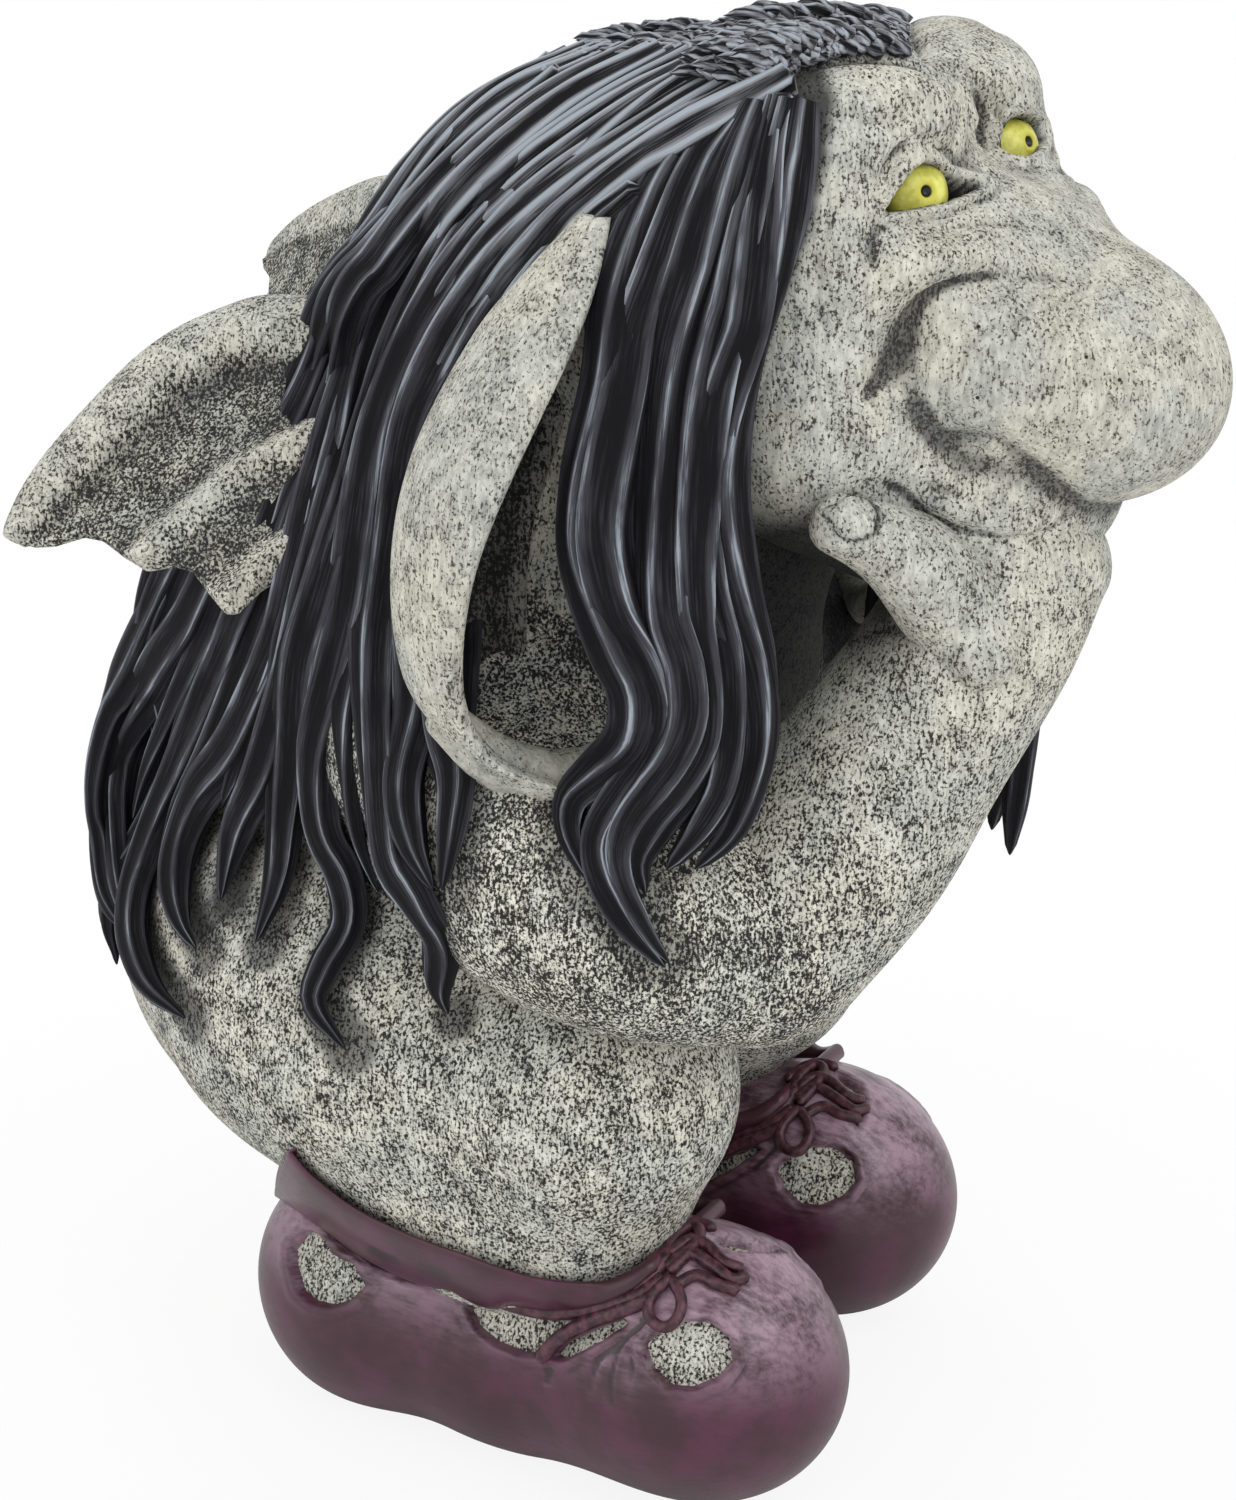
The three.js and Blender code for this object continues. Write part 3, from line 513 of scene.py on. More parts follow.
stone, tree, shader, spot = start_finish("stone_paint")
hollow = attribute(spot, "hollow")
rough_share = attribute(spot, "speckle")
soot = attribute(spot, "soot")
specks = grain(spot, 0.75, 3.0, 0.65)
streaks = grain(spot, 0.6, 2.0, 0.6, (1, 1, 3.5))
dabs = grain(spot, 0.9, 2.0, 0.55, (1, 1.6, 4.5))
clouds = grain(spot, 22.0, 3.0, 0.55)
patches = grain(spot, 7.0, 4.0, 0.6)
bubbles = spot.node("ShaderNodeTexVoronoi", None, 0, Vector=spot, Scale=150.0)
bare = specks * 0.6 + streaks * 0.4 + (patches - 0.5) * 0.2 - 0.17 * rough_share + 0.12
cover = (bare - hollow.maths("MAXIMUM", 0.0) * 0.06).above(0.39, 0.5)
tone = clouds.above(0.35, 0.65).blend(STONE_COOL, STONE_WARM)
pale = dabs.above(0.3, 0.7) * 0.42 + patches.above(0.3, 0.7) * 0.26 + rough_share * 0.66 - 0.31
pale = pale.blend(STONE_MIDDLE, STONE_LIGHT)
pale = spot.node("ShaderNodeMix", {"data_type": "RGBA"}, 2, Factor_Float=0.24, A_Color=pale, B_Color=tone)
painted = cover.blend(rough_share.above(0.5, 0.95).blend(STONE_SPECK, STONE_DARK), pale)
# Hollows are painted darker: partly the dark wash the real figure has, partly painted shade in creases and
# folds.
washed_and_shaded = (hollow.above(0.02, 0.95) * 0.72).blend(painted, STONE_WASH_AND_SHADE)
dotted = bubbles.above(0.05, 0.08).blend(colour(48, 40, 35), washed_and_shaded)
# Near-black over the stone: beside the locks partly hair paint that ran over and partly painted shade under
# them; in the throat, the eye openings and the ear hollows it is painted shade.
hair_painted_and_shaded = soot.blend(dotted, colour(26, 26, 28))
tree.links.new(hair_painted_and_shaded.socket, shader.inputs["Base Color"])
tree.links.new((0.92 - 0.14 * cover).socket, shader.inputs["Roughness"])
shader.inputs["Specular IOR Level"].default_value = 0.3
relief(tree, shader, spot, cover * 0.7 + specks * 0.3, 0.35, 0.55)
print("stone finish:", len(tree.nodes), "nodes")

# %% [markdown]
# ### Hair paint
# The hair is charcoal with a breath of purple. A nearly dry brush of bluish grey was dragged along
# it, which caught only the crests. Each lock carries its own coordinates, along and across, so the
# streaks follow the lock.

# %% Hair finish
HAIR_DARK = colour(17, 17, 20)
HAIR_MIDDLE = colour(68, 68, 75)
HAIR_LIGHT = colour(172, 181, 190)
HAIR_FADED = colour(152, 154, 160)

hair, tree, shader, spot = start_finish("hair_paint")
crest = attribute(spot, "crest")
flow = attribute(spot, "flow", True)
strands = grain(flow, 1.0, 4.0, 0.7, (22, 0.8, 1))
dabs = grain(flow, 1.0, 3.0, 0.6, (30, 9, 1))
brushed = crest * 1.0 + (strands - 0.5) * 1.3 + (dabs - 0.5) * 0.9
body = brushed.above(-0.05, 0.6).blend(HAIR_DARK, HAIR_MIDDLE)
body = (attribute(spot, "faded") * brushed.above(0.0, 0.6) * 0.8).blend(body, HAIR_FADED)
tipped = (brushed.above(0.5, 0.95) * 0.85).blend(body, HAIR_LIGHT)
tree.links.new(tipped.socket, shader.inputs["Base Color"])
tree.links.new((0.68 + 0.2 * strands).socket, shader.inputs["Roughness"])
shader.inputs["Specular IOR Level"].default_value = 0.16
relief(tree, shader, spot, strands, 0.5, 0.5)
print("hair finish:", len(tree.nodes), "nodes")

# %% [markdown]
# ### Shoe, lace, eye and steel paint
# The shoes are plum under a satin varnish, with darker brush streaks. Their upward faces are painted
# paler, partly worn paint and partly painted sheen, and their creases and holes get painted shade.
# Laces are the same plum, nearly brown. The eyes are lemon yellow with a dark drilled pupil, painted
# darker towards the lids as shade, and the dowels inside are plain steel.

# %% Shoe finish
SHOE_PLUM = colour(54, 13, 30)
SHOE_LIGHT = colour(92, 34, 66)
SHOE_DARK = colour(30, 11, 19)
SHOE_WORN_AND_SHEEN = colour(186, 158, 174)

shoe, tree, shader, spot = start_finish("shoe_paint")
hollow = attribute(spot, "hollow")
brush = grain(spot, 1.6, 4.0, 0.7, (1, 5, 1))
clouds = grain(spot, 16.0, 3.0, 0.6)
plum = (clouds.above(0.35, 0.7) * 0.6 + (brush - 0.5) * 0.9).blend(SHOE_PLUM, SHOE_LIGHT)
plum = (0.6 * brush.above(0.55, 0.75)).blend(plum, SHOE_DARK)
# Pale on upward faces: partly rubbed paint, partly painted sheen from the light above.
rubbed_and_sheen = attribute(spot, "worn") * (clouds * 0.8 + brush * 0.7).above(0.5, 0.95)
plum = rubbed_and_sheen.blend(plum, SHOE_WORN_AND_SHEEN)
# Creases and the walls of the holes get painted shade.
plum = (hollow.above(0.03, 0.6) * 0.85).blend(plum, colour(30, 12, 18))
tree.links.new(plum.socket, shader.inputs["Base Color"])
tree.links.new((0.3 + 0.25 * brush).socket, shader.inputs["Roughness"])
shader.inputs["Coat Weight"].default_value = 0.3
shader.inputs["Coat Roughness"].default_value = 0.18
relief(tree, shader, spot, brush * 0.6 + clouds * 0.4, 0.35, 0.35)

# %% Lace and eye finishes
lace, tree, shader, spot = start_finish("lace_paint")
wear = grain(spot, 2.0, 3.0, 0.6)
cordage = wear.above(0.35, 0.7).blend(colour(44, 18, 28), colour(96, 54, 68))
tree.links.new(cordage.socket, shader.inputs["Base Color"])
tree.links.new((0.25 + 0.25 * wear).socket, shader.inputs["Roughness"])
relief(tree, shader, spot, wear, 0.3, 0.4)

eye, tree, shader, spot = start_finish("eye_paint")
pupil = attribute(spot, "pupil")
stain = grain(spot, 3.0, 4.0, 0.65)
yellow = stain.above(0.35, 0.7).blend(colour(196, 194, 78), colour(238, 236, 120))
ringed = pupil.above(1.7, 2.8).blend(colour(206, 200, 70), yellow)
ringed = pupil.above(1.15, 1.5).blend(colour(14, 11, 8), ringed)
# Towards the lids the yellow is painted darker, as shade.
lid_shaded = pupil.above(7.0, 10.5).blend(ringed, colour(96, 92, 36))
tree.links.new(lid_shaded.socket, shader.inputs["Base Color"])
tree.links.new((0.25 + 0.2 * stain).socket, shader.inputs["Roughness"])
relief(tree, shader, spot, stain, 0.2, 0.3)

# %% Steel of the dowels inside
steel, tree, shader, spot = start_finish("dowel_steel")
shader.inputs["Metallic"].default_value = 1.0
drawn = grain(spot, 0.8, 3.0, 0.6, (1, 1, 12))
tree.links.new((0.3 + 0.3 * drawn).socket, shader.inputs["Roughness"])
bright = drawn.blend(colour(120, 120, 124), colour(180, 180, 184))
tree.links.new(bright.socket, shader.inputs["Base Color"])
for dowel in ("neck_dowel", "right_ankle_dowel", "left_ankle_dowel"):
    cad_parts[dowel].data.materials.clear()
    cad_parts[dowel].data.materials.append(steel)
print("finishes:", len(bpy.data.materials))

# %% [markdown]
# ## Hair
# The mane is a fan of long locks from the crown. A lock is an oval with a few narrow crests,
# carried along a path with a slow twist. The paths on the near side are drawn in the picture and
# dropped onto a form a little outside the body. The far side mirrors them, and the locks down the
# middle of the back go by angle and height.

# %% Paths of the locks
FRONT_CORE = [
    ((-62, -58, 290), (9, 9, 22)), ((-61, -60, 250), (10, 10, 26)), ((-62, -62, 212), (11, 11, 24)),
    ((-61, -64, 186), (10, 10, 18)), ((-68, -50, 290), (10, 10, 22)), ((-69, -50, 250), (11, 11, 26)),
    ((-71, -54, 212), (12, 12, 24)), ((-73, -56, 180), (9, 9, 18)), ((-71, -42, 290), (8, 8, 22)),
    ((-74, -41, 255), (9, 9, 24)), ((-78, -44, 214), (9, 9, 22)),
]  # the front locks hang free of the body on these lumps
BACK_LOCKS = [
    [(570, 55), (470, 118), (402, 200), (350, 290), (300, 390), (245, 480), (195, 545), (165, 605),
     (141, 655), (117, 712), (103, 775), (102, 841), (108, 898), (127, 934)],
    [(590, 54), (490, 110), (415, 195), (362, 290), (312, 395), (262, 490), (224, 555), (197, 612),
     (166, 660), (140, 715), (124, 780), (120, 850), (124, 900), (131, 925)],
    [(610, 52), (505, 106), (428, 190), (377, 285), (332, 390), (290, 490), (258, 570), (237, 622),
     (205, 698), (176, 777), (146, 856), (133, 906), (135, 948), (152, 988), (184, 1017)],
    [(640, 50), (540, 108), (455, 190), (395, 290), (352, 395), (315, 500), (295, 580), (280, 640),
     (241, 731), (203, 790), (179, 852), (175, 893), (182, 925), (195, 947)],
    [(662, 52), (562, 110), (472, 192), (410, 290), (364, 400), (332, 505), (310, 590), (294, 663),
     (266, 758), (240, 820), (228, 862), (221, 898)],
    [(690, 55), (590, 115), (495, 195), (427, 292), (380, 400), (346, 505), (320, 590), (301, 655),
     (294, 734), (286, 806), (281, 859), (273, 895), (256, 941)],
    [(722, 60), (622, 122), (522, 200), (447, 295), (399, 400), (372, 500), (356, 602), (338, 674),
     (320, 749), (324, 827), (344, 877), (348, 924), (325, 966), (314, 1004), (344, 1047)],
    [(760, 66), (660, 130), (560, 205), (482, 288), (425, 390), (396, 490), (380, 591), (376, 663),
     (384, 770), (394, 859), (418, 899), (440, 938), (438, 984), (447, 1013)],
    [(790, 76), (690, 138), (600, 210), (522, 285), (458, 380), (427, 490), (416, 600), (420, 700),
     (405, 785), (412, 842), (432, 888)],
    [(640, 190), (560, 270), (490, 380), (455, 500), (446, 620), (448, 727), (456, 777), (452, 824),
     (442, 888)],
]
FRONT_LOCKS = [
    [(700, 140), (668, 185), (628, 282), (610, 384), (590, 466), (585, 537), (597, 588), (620, 649),
     (637, 690), (632, 736), (597, 772), (572, 800), (571, 838), (588, 879)],
    [(735, 120), (694, 178), (646, 300), (628, 384), (612, 466), (607, 537), (622, 610), (650, 660),
     (664, 705), (652, 752), (622, 795), (600, 838), (605, 884), (628, 925), (664, 966)],
    [(762, 105), (735, 170), (694, 282), (674, 358), (664, 461), (660, 537), (662, 614), (676, 665),
     (680, 716), (660, 765), (630, 812), (617, 850), (622, 890), (642, 928), (668, 962)],
    [(780, 98), (758, 180), (720, 308), (700, 410), (692, 512), (694, 614), (706, 690), (704, 741),
     (684, 786), (656, 826), (640, 860), (645, 892)],
    [(788, 97), (768, 190), (736, 323), (714, 410), (706, 496), (712, 578), (728, 650), (731, 716),
     (722, 782), (698, 830), (668, 868)],
    [(798, 100), (782, 190), (746, 323), (722, 420), (716, 500), (728, 588), (750, 665), (758, 731),
     (750, 782), (730, 832), (696, 868)],
]
ARM_BED = [((-67, -16, 166), (31, 31, 31)), ((-62, -40, 154), (29, 29, 29))]
SPINE_HEIGHTS = [60, 120, 190, 240, 285, 330]
SPINE_DEPTHS = [60, 58, 36, 0, -32, -40]
print("back locks:", len(BACK_LOCKS), "front locks:", len(FRONT_LOCKS))


# %% Laying paths on the body
def hair_gap(points):
    """The form the hair lies on: body, shoulders, thigh, arm and the core of the front locks."""
    body = melt(clay(points, TORSO + SHOULDERS), clay(points, SKULL), CLAY)
    body = melt(body, clay(points, HAUNCH), HAUNCH_SOFT)
    return np.minimum(np.minimum(body, clay(points, ARM_BED)), clay(points, FRONT_CORE, 6.0))


def eased(values, window):
    """The mean of values over an odd window along a path, with its ends held."""
    padded = np.pad(values, ((window // 2, window // 2), (0, 0)), "edge")
    return np.stack([padded[k:k + len(values)] for k in range(window)]).mean(0)


def outward(points):
    """Direction away from the hair form: the slope of its distance, by differences of a millimetre."""
    steps = np.eye(3)
    slope = np.stack([hair_gap(points + s) - hair_gap(points - s) for s in steps], -1)
    return slope / (np.linalg.norm(slope, axis=-1, keepdims=True) + 1e-9)


def laid(pixels, lift):
    """A path drawn in the picture, at the eased depth at which its rays meet the hair form."""
    drawn = smooth_path(pixels, 40)
    depth = -((on_form(drawn, hair_gap, lift) - CAMERA_AT) @ TO_CAMERA)
    return CAMERA_AT + rays_of(drawn) * eased(depth[:, None], 9)


def on_back(angle, height, lift):
    """A place on the hair form by angle from straight back towards the right and by height."""
    turn = math.radians(angle)
    core = np.array([[0.0, np.interp(height, SPINE_HEIGHTS, SPINE_DEPTHS), height]])
    along = np.array([[-math.sin(turn), math.cos(turn), 0.0]])
    return reach_out(core, along, lambda p: hair_gap(p) - lift)[0]


def tucked(path):
    """A path whose places over the near wing are moved to just under its plane, past its root."""
    root, out, face = (np.array(part, float) for part in RIGHT_WING)
    from_root = path - root
    over = np.maximum(from_root @ face + TUCK, 0) * smooth_step(from_root @ out, 2, 14)
    return path - face * over[:, None]


def far_side(path):
    """The mirror image of a path, less the stations that would show over the far brow."""
    far = path * MIRROR
    across, down = picture_of(far).T
    return far[(across < BARE_BROW[0]) | (down > BARE_BROW[1])]


# %% All paths
RIGHT_WING = ((-20, 64, 270), (-0.675, 0.571, -0.467), (-0.662, -0.19, 0.725))  # root, way out and face
LEFT_WING = ((18, 64, 276), (0.507, 0.857, -0.09), (0.722, -0.478, -0.499))
TUCK = 9.0  # locks under the wing lie this far below its plane
BARE_BROW = (905, 100)  # pixels: right of the first and above the second the far brow is bare
near_back = [laid(path, 3.0) for path in BACK_LOCKS]
near_front = [laid(path, 2.5) for path in FRONT_LOCKS]
MIDDLE_ANGLES = np.linspace(-34, 34, 11)
middle_back = []
for number, angle in enumerate(MIDDLE_ANGLES):
    sway = 2.5 * math.sin(1.1 * number)
    turns = [(angle * 0.9, 330), (angle * 0.85, 300), (angle + 0.3 * sway, 238), (angle * 1.1 + sway, 195)]
    turns += [(angle * 1.15, 155), (angle * 1.2 - sway, 124), (angle * 1.25 + sway, 92 + 9 * (number % 3))]
    middle_back.append(tucked(smooth_path([on_back(a, z, 3.0) for a, z in turns], 40)))
print("drawn locks:", len(near_back) + len(near_front), "by angle:", len(middle_back))

# %% Locks as crested ovals along their paths
LOCK_SHARES = [0.0, 0.06, 0.25, 0.6, 0.82, 0.95, 1.0]
LOCK_SIZES = [0.5, 0.75, 1.0, 0.9, 0.72, 0.5, 0.06]
LOCK_STEP = 2.3  # mm between the rings of a lock


def lock(stations, width, depth, crests=6, twist=0.35, fade=1.0, sides=48):
    """An oval along a path; its radius rises to narrow crests, |sin| turned over, that wind slowly."""
    path = even_path(stations, LOCK_STEP)
    share = np.linspace(0, 1, len(path))
    size = np.interp(share, LOCK_SHARES, LOCK_SIZES)
    size = np.convolve(np.pad(size, 3, "edge"), np.ones(7) / 7, "valid")
    size[-1] = LOCK_SIZES[-1]
    wander = 1 + 0.12 * np.sin(share * rng.uniform(8, 14) + rng.uniform(0, 6))
    along = np.gradient(path, axis=0)
    along /= np.linalg.norm(along, axis=1, keepdims=True)
    face = eased(outward(path), 15)
    face -= (face * along).sum(1, keepdims=True) * along
    face /= np.linalg.norm(face, axis=1, keepdims=True) + 1e-9
    across = np.cross(along, face)
    turn = np.arange(sides) / sides * 2 * math.pi
    phase = rng.uniform(0, math.pi) + twist * math.pi * share + 0.25 * np.sin(share * 9 + rng.uniform(0, 6))
    crest = 1 - np.abs(np.sin(crests / 2 * turn[None] + phase[:, None]))
    fine = np.abs(np.sin(1.5 * crests * turn[None] + 1.7 * phase[:, None]))
    radius = (0.78 + 0.30 * crest + 0.05 * fine) * (size * wander)[:, None]
    rings = path[:, None] + across[:, None] * (width * radius * np.cos(turn))[..., None]
    rings = rings + face[:, None] * (depth * radius * np.sin(turn))[..., None]
    length = share[:, None] * len(path) * LOCK_STEP + rng.uniform(0, 500)
    flow = np.stack([length + 0 * turn, turn[None] * width + 0 * length, 0 * turn + 0 * length], -1)
    faded = fade * smooth_step(path[:, 2:3], 275, 332)  # the brush caught the crown most
    top = (0.8 + 0.8 * faded) * crest**2 * (0.35 + 0.65 * smooth_step(np.sin(turn), -0.3, 0.6))
    ends = (path[0] - along[0], path[-1] + along[-1] * 0.5)
    return skin(rings, ends, crest=np.clip(top, 0, 1.6), flow=flow * MM, faded=faded)


def between(a, b, share):
    """A path part of the way from one path to the next, station by station along their lengths."""
    return smooth_path(a, 40) * (1 - share) + smooth_path(b, 40) * share


# %% Mane and right front locks
FILLER_END = 30  # stations of a filler, which stops short of the tips
right_mane, left_mane, middle_mane = [], [], []
for number, path in enumerate(near_back):
    right_mane.append(lock(path, 8.5, 5.5))
    left_mane.append(lock(far_side(path), 8.5, 5.5))
    if number + 1 < len(near_back):
        filler = between(path, near_back[number + 1], 0.5)[:FILLER_END]
        right_mane.append(lock(filler, 5.5, 4.5, 4))
        left_mane.append(lock(far_side(filler), 5.5, 4.5, 4))
for path in middle_back:
    middle_mane.append(lock(path, 9.0, 5.8, 6))
piece("right_mane_locks", right_mane, hair, ["mane"])
piece("left_mane_locks", left_mane, hair, ["mane"])
piece("middle_mane_locks", middle_mane, hair, ["mane"])
right_front = [lock(path, 6.8, 6.0, 5, fade=0.2) for path in near_front]
piece("right_front_locks", right_front, hair, ["right_front_hair"])

# %% [markdown]
# ### Left front locks and crown
# The locks in front of the left ear hang a little farther forward, and their ends show past the
# forearm. On the crown the hair is short and matted, in tufts that lean back.

# %% Left front locks
LEFT_FRONT = [
    [(50, -64, 326), (62, -62, 290), (65, -69, 250), (63, -78, 212), (60, -82, 180), (64, -78, 131)],
    [(53, -60, 327), (65, -58, 290), (66, -66, 250), (65, -74, 214), (65, -77, 184), (66, -72, 136)],
    [(56, -54, 328), (67, -54, 290), (70, -60, 250), (68, -69, 214), (70, -72, 186), (71, -68, 140)],
    [(58, -50, 327), (68, -48, 290), (71, -54, 250), (71, -63, 214), (73, -67, 186), (77, -63, 152)],
    [(60, -46, 324), (70, -45, 290), (73, -48, 252), (74, -54, 220), (76, -56, 194), (81, -52, 170)],
    [(61, -42, 320), (71, -41, 290), (74, -41, 255), (77, -45, 224), (80, -47, 202), (84, -42, 184)],
    [(56, -42, 318), (58, -40, 280), (57, -42, 240), (54, -46, 208), (54, -45, 184), (58, -44, 156)],
    [(58, -40, 318), (64, -36, 280), (65, -38, 240), (64, -43, 210), (66, -44, 186), (68, -44, 160)],
    [(60, -38, 316), (69, -33, 280), (73, -33, 244), (75, -40, 214), (77, -44, 192), (78, -44, 168)],
]
left_front = [lock(np.array(path, float), 7.8, 6.6, 5, fade=0.2) for path in LEFT_FRONT]
piece("left_front_locks", left_front, hair, ["left_front_hair"])

# %% Crown tufts
CROWN = [(600, 72), (690, 78), (770, 84), (792, 78), (812, 66), (840, 55), (884, 53), (908, 58),
         (906, 16), (860, 12), (800, 12), (740, 24), (690, 38), (600, 50)]  # pixels round the matted hair
TUFT_COUNT = 640
TUFT_SIDES = 12
TUFT_SHARES = np.array([[0.0], [0.45], [1.0]])  # of its lean, at its stations
TUFT_ARCH = np.array([[0, 0, 0.0], [0, 0, 1.2], [0, 0, 0.8]])
CROWN_THICK = 3.6  # of the matted hair, which thins to nothing at the brow
FAR_HAIRLINE = -46.0  # on the far side the hair starts behind this
HIDDEN = 3.0  # a place this far behind the skin that the camera sees is out of its sight
tufts = []
drawn = np.column_stack([rng.uniform(600, 908, TUFT_COUNT), rng.uniform(10, 84, TUFT_COUNT)])
edge = outline_gap(drawn, CROWN)
drawn, edge = drawn[edge < 0], edge[edge < 0]
lift = CROWN_THICK * smooth_step(-edge, 0, 30)
over = [rng.uniform(-54, 54, TUFT_COUNT), rng.uniform(-62, 6, TUFT_COUNT), np.full(TUFT_COUNT, 250.0)]
over = np.column_stack(over)
over = reach_out(over, np.array([0.0, 0.0, 1.0]) + 0 * over, head_gap)
tall = over + np.array([0, 0, 2 * CROWN_THICK])
seen = on_form(picture_of(tall), head_gap)
bare = (over[:, 0] > 0) & (over[:, 1] < FAR_HAIRLINE)
over = over[((seen - tall) @ TO_CAMERA > HIDDEN) & ~bare]
matted = np.concatenate([on_form(drawn[edge < -22], head_gap), over])
roots = [on_form(drawn, head_gap, lift[:, None]), over + np.array([0, 0, CROWN_THICK])]
for base in np.concatenate(roots):
    lean = np.array([rng.uniform(-5, 3), rng.uniform(5, 10), rng.uniform(-0.5, 1.2)])
    tufts.append(lock(base + TUFT_SHARES * lean + TUFT_ARCH, 3.4, 2.2, 4, 0.8, sides=TUFT_SIDES))
piece("crown_tufts", tufts, hair, ["mane"])
HAIR_PATHS = near_back + near_front + middle_back + [far_side(path) for path in near_back]
HAIR_PATHS += [np.array(path, float) for path in LEFT_FRONT]
hair_points = np.concatenate([even_path(path, 5.0) for path in HAIR_PATHS] + [matted])
print("points along the locks:", len(hair_points))

# %% [markdown]
# ### Dark paint and painted shade beside the hair
# The hair's dark colour is carried onto the stone beside each lock, partly as paint that ran over
# and partly as painted shade under the locks. Painted shade also fills the hollow under the chin and
# the far arm seen through it. A skin takes its share of it from distances, so no seam has to be
# painted by hand.

# %% Dark paint and painted shade beside the locks, painted shade in the throat
UNDER_LOCKS = (6.0, 9.5)  # millimetres from a lock: full and none
IN_THROAT = (15, 30)  # millimetres from the middle of the throat: full and none
THROAT = [(775, 560), (800, 575), (795, 620), (830, 585), (815, 640), (795, 680), (835, 560)]  # dark pixels
FAR_ARM = [(62, -26, 188), (74, -28, 184)]  # the left arm shows behind it
throat = np.vstack([on_form(THROAT, lambda p: np.minimum(head_gap(p), torso_gap(p))), FAR_ARM])
print("throat at", np.round(throat, 1).tolist())


def hair_paint_and_shade_of(rings, share=1.0):
    """Share of dark hair paint and painted shade on a skin, by its distance to the nearest lock or the
    throat.
    """
    flat = rings.reshape(-1, 3)
    parts = np.array_split(flat, max(1, len(flat) // 4000))
    gaps = [np.sqrt(((p[:, None] - hair_points) ** 2).sum(-1)).min(1) for p in parts]
    near = 0.9 * share * (1 - smooth_step(np.concatenate(gaps), *UNDER_LOCKS))
    deep = np.linalg.norm(flat[:, None] - throat, axis=-1).min(1)
    return np.maximum(near, 0.95 - 0.95 * smooth_step(deep, *IN_THROAT)).reshape(rings.shape[:2])


# %% [markdown]
# ## Head
# The face is carved: brows, lids, cheek folds, the long smirk. Its rays are crowded to the front,
# where the detail is. The strokes are grooves (depth below zero) or welts (above), each drawn as a
# short row of pixels and mirrored onto the far cheek. Eye openings are pushed in behind the
# eyeballs, with a welt for the lids.

# %% Strokes on the face
FACE_STROKES = [
    ([(1005, 269), (964, 280), (927, 303), (908, 329), (897, 359), (882, 381), (859, 404)], 4.0, -3.2),
    ([(904, 374), (919, 411), (941, 437), (968, 438), (998, 443), (1024, 458), (1046, 477),
      (1072, 498)], 3.0, -1.2),
    ([(964, 284), (1009, 277), (1054, 279), (1098, 299)], 3.0, -0.8),
    ([(874, 482), (889, 486), (912, 501), (927, 518), (956, 531), (986, 538), (1024, 543), (1046, 534),
      (1065, 520)], 1.7, -2.4),
    ([(889, 478), (934, 488), (975, 504), (1024, 515), (1061, 514)], 2.0, -0.9),
    ([(884, 215), (875, 232), (873, 254), (879, 275)], 2.4, -1.5),
    ([(889, 226), (912, 222), (949, 211), (985, 198)], 1.6, -1.5),
    ([(905, 240), (949, 226), (986, 222), (1024, 226)], 1.8, -1.1),
    ([(874, 282), (912, 264), (949, 256), (986, 258)], 3.0, 0.9),
    ([(826, 232), (814, 262), (816, 290)], 2.2, -0.9),
    ([(799, 254), (792, 269), (794, 284)], 1.4, -1.0),
    ([(814, 286), (822, 318), (837, 340)], 2.2, -0.9),
    ([(829, 107), (859, 120), (889, 121), (927, 114), (949, 131)], 3.0, -2.0),
    ([(955, 82), (966, 112), (958, 135)], 1.8, -3.6),
    ([(981, 92), (988, 120), (982, 142)], 1.7, -3.0),
    ([(1001, 104), (1003, 131), (996, 150)], 1.5, -2.2),
    ([(872, 205), (885, 175), (902, 150), (925, 140), (948, 152)], 1.7, -1.6),
    ([(1005, 269), (964, 280), (927, 303), (908, 329), (897, 359), (882, 381), (862, 400)], 1.5, -1.5),
    ([(790, 81), (809, 67), (839, 56), (884, 55), (914, 60), (936, 71), (955, 90), (962, 112)], 2.6,
      -2.4),
    ([(902, 22), (914, 41), (932, 60), (955, 71), (977, 90), (1000, 112)], 2.4, -2.2),
]

# %% Head with its carving
EYE_OPENING = [
    (884, 213), (897, 191), (912, 169), (922, 162), (934, 166), (943, 175), (957, 181), (982, 187),
    (968, 193), (945, 202), (912, 209),
]
RIGHT_PUPIL, LEFT_PUPIL = (927, 191), (1030, 141)
LEFT_OPENING = [(999, 150), (1001, 128), (1010, 118), (1024, 117), (1036, 124), (1040, 140),
                (1036, 152), (1024, 158), (1008, 155)]
EYE_R = 8.5
LEFT_EYE = np.array([22.5, -84.5, 314.0])
SOCKET_DEPTH = 10.0
SOCKET_REACH = 26.0  # only skin this near to an eye is pushed in
rings, ends = form((0, -56, 288), head_gap, 236, 330, crowd=0.55)
rings = press(rings, FACE_STROKES, head_gap, mirror=True)
flat = rings.reshape(-1, 3)
sink = np.zeros(len(flat))
socket = np.zeros(len(flat))
toward = (normals_of(rings).reshape(-1, 3) * (CAMERA_AT - flat)).sum(1) > 0
for middle, opening in ((RIGHT_EYE, EYE_OPENING), (LEFT_EYE, LEFT_OPENING)):
    near = toward & (np.linalg.norm(flat - middle, axis=1) < SOCKET_REACH)
    gap = outline_gap(picture_of(flat[near]), opening)
    sink[near] += 1.7 * np.exp(-(((gap - 6) / 5) ** 2)) - SOCKET_DEPTH * smooth_step(-gap, -0.5, 6)
    socket[near] = np.maximum(socket[near], smooth_step(-gap, -2, 1))
rings = rings + normals_of(rings) * sink.reshape(rings.shape[:2])[..., None]
# Three sizes of hollow; the broadest paints soft shade across the folds of the face.
tone = 0.7 * hollows_of(rings, 2, 0.5) + 0.6 * hollows_of(rings, 6, 1.6) + 0.5 * hollows_of(rings, 14, 5.0)
nose_share = 1 - smooth_step(clay(rings, NOSE, NOSE_SOFT), -2, 8)
# The skin inside the eye openings is painted nearly black, as shade round the eyeballs.
dark = np.maximum(hair_paint_and_shade_of(rings), 0.97 * socket.reshape(rings.shape[:2]))
carved = skin(rings, ends, hollow=np.clip(tone, -1, 1), speckle=0.71 - 0.12 * nose_share, soot=dark)
piece("head_carving", [carved], stone, ["head"])


